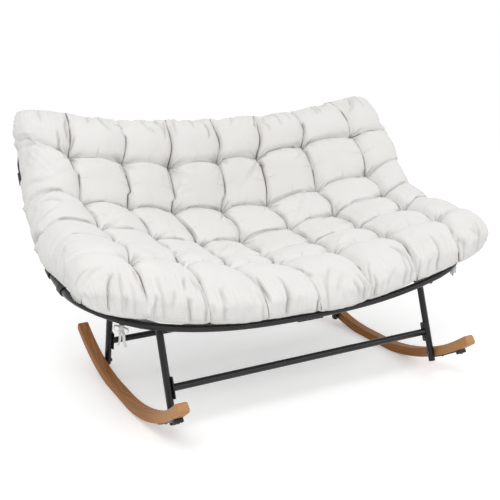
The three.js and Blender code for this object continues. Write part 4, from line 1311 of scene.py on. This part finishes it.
def rounded_look():
    """Tree that joins a body's loose faces and shades it smooth, but for its real edges."""
    made = ShapeTree(
        "Smooth faces",
        {
            "Join within": ("NodeSocketFloat", JOIN_WITHIN),
            "Sharp above": ("NodeSocketFloat", SHARP_ABOVE),
        },
    )
    merged = made.node(
        "GeometryNodeMergeByDistance",
        inputs={"Geometry": made.given("Geometry"), "Distance": made.given("Join within")},
    )
    faces = made.node("GeometryNodeSetShadeSmooth", {"domain": "FACE"}, {"Geometry": merged})
    angle = made.node("GeometryNodeInputMeshEdgeAngle")
    sharp = made.node(
        "FunctionNodeCompare",
        {"data_type": "FLOAT", "operation": "GREATER_THAN"},
        {0: angle, 1: made.given("Sharp above")},
    )
    inputs = {"Geometry": faces, "Selection": sharp, "Shade Smooth": False}
    made.close(made.node("GeometryNodeSetShadeSmooth", {"domain": "EDGE"}, inputs))
    return made


def row_of_beads():
    """Tree that lays one small rounded shape after another along each path of its mesh."""
    made = ShapeTree(
        "Row along a path",
        {
            "Spacing": ("NodeSocketFloat", 0.01),
            "Length": ("NodeSocketFloat", 0.005),
            "Width": ("NodeSocketFloat", 0.001),
            "Turn": ("NodeSocketFloat", 0.0),
            "Seed": ("NodeSocketInt", 1),
            "Material": ("NodeSocketMaterial", None),
        },
    )
    curve = made.node("GeometryNodeMeshToCurve", inputs={"Mesh": made.given("Geometry")})
    spaced = made.node(
        "GeometryNodeResampleCurve",
        {"mode": "LENGTH"},
        {"Curve": curve, "Length": made.given("Spacing")},
    )
    ball = made.node("GeometryNodeMeshUVSphere", inputs={"Segments": 8, "Rings": 5, "Radius": 0.5})
    size = made.node(
        "ShaderNodeCombineXYZ",
        inputs={0: made.given("Length"), 1: made.given("Width"), 2: made.given("Width")},
    )
    heading = made.node(
        "FunctionNodeAlignRotationToVector",
        {"axis": "X"},
        {"Vector": made.node("GeometryNodeInputTangent")},
    )
    wobble = made.node(
        "FunctionNodeRandomValue",
        {"data_type": "FLOAT"},
        {2: made.given("Turn") - 0.12, 3: made.given("Turn") + 0.12, "Seed": made.given("Seed")},
        output=1,
    )
    spin = made.node("ShaderNodeCombineXYZ", inputs={0: 0.0, 1: 0.0, 2: wobble})
    turned = made.node(
        "FunctionNodeRotateRotation",
        {"rotation_space": "LOCAL"},
        {
            "Rotation": heading,
            "Rotate By": made.node("FunctionNodeEulerToRotation", inputs={0: spin}),
        },
    )
    laid = made.node(
        "GeometryNodeInstanceOnPoints",
        inputs={"Points": spaced, "Instance": ball, "Rotation": turned, "Scale": size},
    )
    real = made.node("GeometryNodeRealizeInstances", inputs={"Geometry": laid})
    smooth = made.node("GeometryNodeSetShadeSmooth", inputs={"Geometry": real})
    inputs = {"Geometry": smooth, "Material": made.given("Material")}
    made.close(made.node("GeometryNodeSetMaterial", inputs=inputs))
    return made


def beads_on_paths(name, paths, material, numbers):
    """A piece of small repeated shapes along paths, turned into a plain mesh."""
    points, edges = [], []
    for path, closed in paths:
        start, count = len(points), len(path)
        steps = count if closed else count - 1
        points += [tuple(p) for p in path]
        edges += [(start + i, start + (i + 1) % count) for i in range(steps)]
    mesh = bpy.data.meshes.new(name)
    mesh.from_pydata(points, edges, [])
    piece = bpy.data.objects.new(name, mesh)
    bpy.context.scene.collection.objects.link(piece)
    modifier = row_of_beads().use(piece, {**numbers, "Material": material})
    graph = bpy.context.evaluated_depsgraph_get()
    plain = bpy.data.meshes.new_from_object(piece.evaluated_get(graph), depsgraph=graph)
    piece.modifiers.remove(modifier)
    piece.data = plain
    plain.name = name
    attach(piece, BODY)
    return piece


def finish_nodes(names, material, bevel=0.0):
    """Gives CAD pieces their finish, with smooth shading over their curved faces."""
    look = rounded_look()
    for name in names:
        piece = frame["nodes"][name]
        if bevel:
            weld = piece.modifiers.new("Join", "WELD")
            weld.merge_threshold = JOIN_WITHIN
            edge = piece.modifiers.new("Eased edges", "BEVEL")
            edge.width = bevel
            edge.segments = 3
            edge.limit_method = "ANGLE"
            edge.angle_limit = EASED_ABOVE
        look.use(piece, {"Join within": JOIN_WITHIN, "Sharp above": SHARP_ABOVE})
        for slot in piece.material_slots:
            slot.material = material


def nodes_named(*starts):
    """The CAD pieces whose names start with one of these."""
    return [name for name in sorted(frame["nodes"]) if name.startswith(starts)]


# ---------------------------------------------------------------- operators


class BENCH_OT_steel_frame(bpy.types.Operator):
    """Powder coat the hoop, the ribs, the legs, the stretchers and their plates"""

    bl_idname = "bench.steel_frame"
    bl_label = "Steel frame"

    def execute(self, context):
        names = nodes_named("hoop_", "rib_", "front_leg_", "rear_leg_", "stretcher_")
        names = [n for n in names if "cap" not in n]
        names += nodes_named("front_plate_left", "front_plate_right")
        names += nodes_named("rear_plate_left", "rear_plate_right", "anti_tip_strip")
        finish_nodes(names, steel_finish(context.scene.bench_frame))
        return {"FINISHED"}


class BENCH_OT_fittings(bpy.types.Operator):
    """Finish the bolts, screws, leg caps and rubber stops"""

    bl_idname = "bench.fittings"
    bl_label = "Fittings"

    def execute(self, context):
        bolts = [n for n in frame["nodes"] if "bolt" in n or "screw" in n]
        finish_nodes(bolts, fastener_finish())
        caps = [n for n in frame["nodes"] if "leg_cap" in n]
        finish_nodes(caps, moulded_finish("Black plastic", (0.014, 0.014, 0.015), 0.42, 900.0))
        stops = nodes_named("anti_tip_stop")
        finish_nodes(stops, moulded_finish("Black rubber", (0.018, 0.018, 0.018), 0.66, 500.0))
        return {"FINISHED"}


class BENCH_OT_rockers(bpy.types.Operator):
    """Give the rockers eased edges and oiled wood"""

    bl_idname = "bench.rockers"
    bl_label = "Rockers"

    def execute(self, context):
        names = ["rocker_left", "rocker_right"]
        finish_nodes(names, wood_finish(context.scene.bench_frame), bevel=ROCKER_EDGE)
        return {"FINISHED"}


class BENCH_OT_webbing(bpy.types.Operator):
    """Weave the straps under the cushion"""

    bl_idname = "bench.webbing"
    bl_label = "Webbing"

    def execute(self, context):
        finish_nodes(nodes_named("webbing_strap"), webbing_finish(context.scene.bench_frame))
        return {"FINISHED"}


class BENCH_OT_cushion(bpy.types.Operator):
    """Sew, fill and wrinkle the tufted cushion"""

    bl_idname = "bench.cushion"
    bl_label = "Cushion"

    def execute(self, context):
        settings = context.scene.bench_cushion
        grid = CoverGrid(GRID_PER_COLUMN, GRID_PER_ROW)
        top, bottom = cover_sheets(grid, settings.puff_rise)
        coarse = CoverGrid(SIMULATED_PER_PANEL, SIMULATED_PER_PANEL)
        sewn = cover_sheets(coarse, settings.puff_rise)
        moved_top, moved_bottom = blown_up(coarse, *sewn, settings)
        top = top + grid.spread(coarse, moved_top)
        bottom = bottom + UNDER_SHARE * grid.spread(coarse, moved_bottom)
        creases, crease_shade_mask = all_creases(grid, settings.gather_depth)
        wrinkles = pinch_folds(grid, top, settings.pinch_depth) + creases
        wrinkles = wrinkles + soft_waves(top, FILLING_WAVES)
        top = top + face_normals(top) * wrinkles[..., None]
        points, faces, upper, lower = pillow_mesh(grid, top, bottom, UNDER_SKIP)
        cushion = mesh_piece(
            "tufted_cushion", points, faces, fabric_finish(settings)
        )
        count = len(points)
        for name, values in (("seam", seam_distances(grid)), ("tuft", tuft_offsets(grid))):
            layer = cushion.data.attributes.new(name, "FLOAT_VECTOR", "POINT")
            both = by_vertex(values, count, upper, lower)
            layer.data.foreach_set("vector", both.astype(np.float32).ravel())
        # The fold attribute carries the painted crease shade to the cloth's colour.
        layer = cushion.data.attributes.new("fold", "FLOAT", "POINT")
        layer.data.foreach_set("value", by_vertex(crease_shade_mask, count, upper).astype(np.float32))
        cloth = np.stack([grid.u * CLOTH_WIDTH, grid.v * CLOTH_LENGTH], -1)
        flat = by_vertex(cloth, count, upper, lower)
        corners = np.zeros(len(cushion.data.loops), int)
        cushion.data.loops.foreach_get("vertex_index", corners)
        layer = cushion.data.uv_layers.new(name="cloth")
        layer.data.foreach_set("uv", flat[corners].astype(np.float32).ravel())
        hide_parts("cushion")
        return {"FINISHED"}


def top_sheet(mesh, key, shape):
    """A property of the cushion's first points, which are its top sheet, as a grid of vectors."""
    values = np.zeros(len(mesh.vertices) * 3)
    mesh.vertices.foreach_get(key, values)
    columns, rows = shape
    return values.reshape(-1, 3)[: columns * rows].reshape(columns, rows, 3)


def once_round(sheet):
    """The rim of a grid, from its first corner back to it."""
    return np.concatenate([sheet[:-1, 0], sheet[-1, :-1], sheet[:0:-1, -1], sheet[0, :0:-1]])


class BENCH_OT_stitches(bpy.types.Operator):
    """Sew the edge seam and the tufts"""

    bl_idname = "bench.stitches"
    bl_label = "Stitches"

    def execute(self, context):
        settings = context.scene.bench_cushion
        thread = thread_finish(settings)
        cushion = bpy.data.objects["tufted_cushion"].data
        grid = CoverGrid(GRID_PER_COLUMN, GRID_PER_ROW)
        top = top_sheet(cushion, "co", grid.a.shape)
        out = top_sheet(cushion, "normal", grid.a.shape)
        seam_lift, tuft_lift, half_stitch = 0.0003, 0.0025, 0.0045
        beads_on_paths(
            "edge_stitches",
            [(once_round(top) + seam_lift * once_round(out), True)],
            thread,
            {
                "Spacing": settings.stitch_spacing,
                "Length": 0.62 * settings.stitch_spacing,
                "Width": 0.0011,
                "Turn": 0.12,
                "Seed": 4,
            },
        )
        paths = []
        for column, row, i, j, right in tufts(grid, top):
            normal = unit(out[i, j])
            ahead = np.cross(normal, right)
            middle = top[i, j] + tuft_lift * normal
            for turn in (0.7, 2.3):
                along = half_stitch * (math.cos(turn) * right + math.sin(turn) * ahead)
                paths.append(([middle - along, middle + along], False))
            if (column, row) == LOOSE_TUFT:
                for turn, reach in LOOSE_ENDS:
                    away = math.cos(turn) * right + math.sin(turn) * ahead
                    tip = middle + reach * away + 0.010 * normal
                    bend = middle + 0.5 * reach * away + 0.011 * normal
                    paths.append(([middle, bend, tip], False))
        beads_on_paths(
            "tuft_threads",
            paths,
            thread,
            {"Spacing": 0.0022, "Length": 0.0034, "Width": 0.0016, "Turn": 0.3, "Seed": 9},
        )
        return {"FINISHED"}


class BENCH_OT_ties(bpy.types.Operator):
    """Tie the cushion to the hoop with four tapes"""

    bl_idname = "bench.ties"
    bl_label = "Ties"

    def execute(self, context):
        settings = context.scene.bench_cushion
        cloth = tape_finish(settings)
        outline = hoop_outline()
        for end, share in TIE_PLACES:
            index = int(round(share * (HOOP_POINTS - 1)))
            for hand, sign in (("left", -1), ("right", 1)):
                mirror = np.array([sign, 1, 1])
                centre = outline[index] * mirror
                along = unit((outline[index + 1] - outline[index - 1]) * mirror)
                points, faces = tie_shape(centre, along, settings.tie_width, sign)
                piece = mesh_piece(f"tie_{end}_{hand}", points, faces, cloth)
                outward(piece)
                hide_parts(f"cushion_tie_{end}_{hand}")
        return {"FINISHED"}


def tie_shape(centre, along, width, sign):
    """A tape round the hoop with a knot, two small loops and two hanging tails."""
    rng = np.random.default_rng(40 + int(sign) + int(centre[1] > 0) * 7)
    down = np.array([0.0, 0.0, -1.0])
    down = unit(down - along * (down @ along))
    side = np.cross(along, down)
    thin = TAPE_THICKNESS
    shapes = []
    clear = TUBE_RADIUS + TAPE_CLEARANCE
    knot = centre + down * (clear + KNOT_DROP)
    # Both ends of the tape come down from the cushion on the inner side of the tube.
    inner = side if side @ centre < 0 else -side
    for way in (-1, 1):
        knots = [centre - down * 0.020 + inner * 0.010 + along * way * 0.005]
        for step in (-40, -10, 20, 50, 75):
            angle = math.radians(step)
            spread = math.cos(angle) * inner + math.sin(angle) * down
            knots.append(centre + spread * (clear + 0.0009 * way) + along * way * 0.004)
        knots.append(knot)
        path = curve_through(knots, 26)
        shapes.append(tape(path, path - centre, width, thin))
    # The knot: three turns of tape over each other.
    for lean, size in ((0.0, 0.0058), (0.9, 0.0066), (-0.9, 0.0066)):
        turn = np.linspace(0, 2 * math.pi, 20, endpoint=False)[:, None]
        first = math.cos(lean) * along + math.sin(lean) * down
        ring = knot + size * (np.cos(turn) * first + np.sin(turn) * side)
        shapes.append(tape(ring, ring - knot, 0.75 * width, 1.6 * thin, closed=True))
    # Two small loops of the bow.
    for way in (-1, 1):
        reach = rng.uniform(*LOOP_REACHES)
        droop = rng.uniform(0.35, 0.8)
        heading = unit(way * along * 0.9 + down * droop)
        over = unit(np.cross(heading, side))
        knots = [knot + 0.002 * side]
        for far, wide in ((0.4, 0.32), (0.8, 0.42), (1.0, 0.0), (0.8, -0.42), (0.4, -0.32)):
            knots.append(knot + heading * reach * far + over * reach * wide + side * 0.003)
        knots.append(knot - 0.002 * side)
        path = curve_through(knots, 30)
        middle = knot + heading * reach * 0.6
        shapes.append(tape(path, path - middle, 0.8 * width, thin))
    # Two tails that hang and twist a little, short ones at the front right.
    trimmed = SHORT_TAILS if sign > 0 and centre[1] < 0 else 1.0
    for way in (-1, 1):
        length = rng.uniform(*TAIL_LENGTHS) * trimmed
        knots = [knot]
        for far in (0.25, 0.5, 0.75, 1.0):
            sway = way * (0.010 * far**0.6) + rng.normal(0, 0.0012)
            knots.append(
                knot
                + np.array([0, 0, -1.0]) * length * far
                + along * sway
                + side * (0.002 * math.sin(far * 5 + way))
            )
        path = curve_through(knots, 24)
        swing = np.linspace(0, rng.uniform(0.5, 1.1) * way, 24)[:, None]
        facing = np.cos(swing) * side + np.sin(swing) * along
        shapes.append(tape(path, facing, width * 0.85, thin))
    return joined(shapes)


class BENCH_OT_weld_beads(bpy.types.Operator):
    """Lay weld beads round the tops of the legs"""

    bl_idname = "bench.weld_beads"
    bl_label = "Weld beads"

    def execute(self, context):
        settings = context.scene.bench_frame
        steel = steel_finish(settings)
        steel.name = "Coated weld"
        ring_radius, ring_points = TUBE_RADIUS + 0.0003, 36
        below_head, saddle = 0.010, 0.006
        rings = []
        for x in (-LEG_X, LEG_X):
            for foot, head in LEG_LINES:
                foot, head = np.array([x, *foot]), np.array([x, *head])
                axis = unit(head - foot)
                first = np.array([1.0, 0, 0])
                second = np.cross(axis, first)
                turn = np.linspace(0, 2 * math.pi, ring_points, endpoint=False)[:, None]
                lift = below_head - saddle * np.cos(turn) ** 2
                around = np.cos(turn) * first + np.sin(turn) * second
                rings.append((head - axis * lift + ring_radius * around, True))
        beads_on_paths(
            "weld_beads",
            rings,
            steel,
            {
                "Spacing": 0.0024,
                "Length": 0.0036,
                "Width": settings.bead_width,
                "Turn": 0.2,
                "Seed": 2,
            },
        )
        return {"FINISHED"}


def backdrop_rays(made):
    """1 for rays that meet the white backdrop: the camera's own, and those off gloss or glass."""
    kinds = ("Is Camera Ray", "Is Glossy Ray", "Is Transmission Ray")
    camera, gloss, glass = (made.node("ShaderNodeLightPath", output=kind) for kind in kinds)
    return made.maths("MINIMUM", camera + gloss + glass, 1.0)


class BENCH_OT_stage(bpy.types.Operator):
    """Set up the floor, the lamps and the camera"""

    bl_idname = "bench.stage"
    bl_label = "Stage"

    def execute(self, context):
        settings = context.scene.bench_stage
        scene = context.scene
        scene.view_settings.view_transform = "Standard"
        self.camera(scene)
        self.floor(settings)
        self.lamps(settings)
        self.dome(scene, settings)
        return {"FINISHED"}

    @staticmethod
    def camera(scene):
        turn, tilt = CAMERA_TURN, CAMERA_TILT
        level = math.cos(tilt)
        forward = Vector((math.sin(turn) * level, math.cos(turn) * level, -math.sin(tilt)))
        right = Vector((math.cos(turn), -math.sin(turn), 0))
        up = right.cross(forward)
        data = bpy.data.cameras.new("camera")
        data.sensor_width = 36.0
        data.lens = CAMERA_LENS
        data.clip_end = 100.0
        camera = bpy.data.objects.new("camera", data)
        axes = Matrix((right, up, -forward)).transposed().to_4x4()
        camera.matrix_world = Matrix.Translation(CAMERA_PLACE) @ axes
        scene.collection.objects.link(camera)
        scene.camera = camera

    @staticmethod
    def floor(settings):
        """A wide level floor that the camera sees as near white, with the bench's shadow on it,
        deepened by painted shade near the middle.
        """
        size = FLOOR_HALF
        mesh = bpy.data.meshes.new("floor")
        corners = [(-size, -size, 0), (size, -size, 0), (size, size, 0), (-size, size, 0)]
        mesh.from_pydata(corners, [], [(0, 1, 2, 3)])
        floor = bpy.data.objects.new("floor", mesh)
        bpy.context.scene.collection.objects.link(floor)
        made = Finish("Studio floor", {"Specular IOR Level": 0.0, "Roughness": 0.9})
        grain = made.noise(3.0, 3.0)
        level = settings.floor_shade
        made.set(Base_Color=made.blend(grain, (level * 0.99,) * 3, (level,) * 3))
        seen = backdrop_rays(made)
        far = made.maths("SQRT", made.x * made.x + made.y * made.y)
        # Painted shade: the glow is dimmed near the bench, which deepens the shadow there.
        near_colour, far_colour = (FLOOR_NEAR_SHADE,) * 3, (1.0,) * 3
        inputs = {
            "Color": made.blend(made.between(far, *FLOOR_FADE), near_colour, far_colour),
            "Strength": seen * (FLOOR_WHITE - level * settings.sky_level),
        }
        glow = made.node("ShaderNodeEmission", inputs=inputs)
        both = made.node("ShaderNodeAddShader", inputs={0: made.shader.outputs[0], 1: glow})
        made.feed(made.tree.nodes["Material Output"].inputs["Surface"], both)
        mesh.materials.append(made.material)
        floor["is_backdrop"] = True

    @staticmethod
    def lamps(settings):
        for name, place, (wide, high), share in LAMPS:
            data = bpy.data.lights.new(name, "AREA")
            data.shape = "RECTANGLE"
            data.size, data.size_y = wide, high
            data.energy = settings.key_power * share
            lamp = bpy.data.objects.new(name, data)
            turned = (Vector(LAMP_AIM) - Vector(place)).to_track_quat("-Z", "Y")
            lamp.matrix_world = Matrix.Translation(place) @ turned.to_matrix().to_4x4()
            bpy.context.scene.collection.objects.link(lamp)

    @staticmethod
    def dome(scene, settings):
        """Soft light, stronger from above, and plain white where the camera sees past the floor."""
        world = bpy.data.worlds.new("studio")
        world.use_nodes = True
        scene.world = world
        made = Nodes(world.node_tree)
        seen = backdrop_rays(made)
        back = world.node_tree.nodes["Background"]
        back.inputs["Color"].default_value = (1, 1, 1, 1)
        ray = made.node("ShaderNodeTexCoord", output="Generated")
        height = made.node("ShaderNodeSeparateXYZ", inputs={"Vector": ray}, output="Z")
        above = made.maths("MAXIMUM", height, 0.0)
        level = settings.sky_level * (DOME_LEVEL + DOME_TOP * above)
        made.feed(back.inputs["Strength"], seen * (1.0 - level) + level)


class BENCH_PT_panel(bpy.types.Panel):
    """Lists the bench's pieces and their settings"""

    bl_idname = "BENCH_PT_panel"
    bl_label = "Rocking bench"
    bl_space_type = "VIEW_3D"
    bl_region_type = "UI"
    bl_category = "Bench"

    def draw(self, context):
        for operator in STEPS:
            self.layout.operator(operator.bl_idname, text=operator.bl_label)
        for name in SETTINGS:
            group = getattr(context.scene, name)
            box = self.layout.box()
            for prop in group.bl_rna.properties:
                if prop.identifier not in {"rna_type", "name"}:
                    box.prop(group, prop.identifier)


STEPS = (
    BENCH_OT_stage,
    BENCH_OT_steel_frame,
    BENCH_OT_fittings,
    BENCH_OT_rockers,
    BENCH_OT_webbing,
    BENCH_OT_cushion,
    BENCH_OT_stitches,
    BENCH_OT_ties,
    BENCH_OT_weld_beads,
)
SETTINGS = {
    "bench_cushion": CushionSettings,
    "bench_frame": FrameSettings,
    "bench_stage": StageSettings,
}


def register():
    for name, group in SETTINGS.items():
        bpy.utils.register_class(group)
        setattr(bpy.types.Scene, name, PointerProperty(type=group))
    for step in STEPS:
        bpy.utils.register_class(step)
    bpy.utils.register_class(BENCH_PT_panel)


def unregister():
    bpy.utils.unregister_class(BENCH_PT_panel)
    for step in reversed(STEPS):
        bpy.utils.unregister_class(step)
    for name, group in SETTINGS.items():
        delattr(bpy.types.Scene, name)
        bpy.utils.unregister_class(group)


def plain(box):
    """A box's corners as plain lists."""
    return [[round(float(number), 5) for number in corner] for corner in box]


def main():
    register()
    bpy.ops.bench.stage()
    bpy.ops.bench.steel_frame()
    bpy.ops.bench.fittings()
    bpy.ops.bench.rockers()
    bpy.ops.bench.webbing()
    bpy.ops.bench.cushion()
    bpy.ops.bench.stitches()
    bpy.ops.bench.ties()
    bpy.ops.bench.weld_beads()
    sizes = {"cad": plain(CAD_BOX), "visual": plain(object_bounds())}


if __name__ == "__main__":
    main()
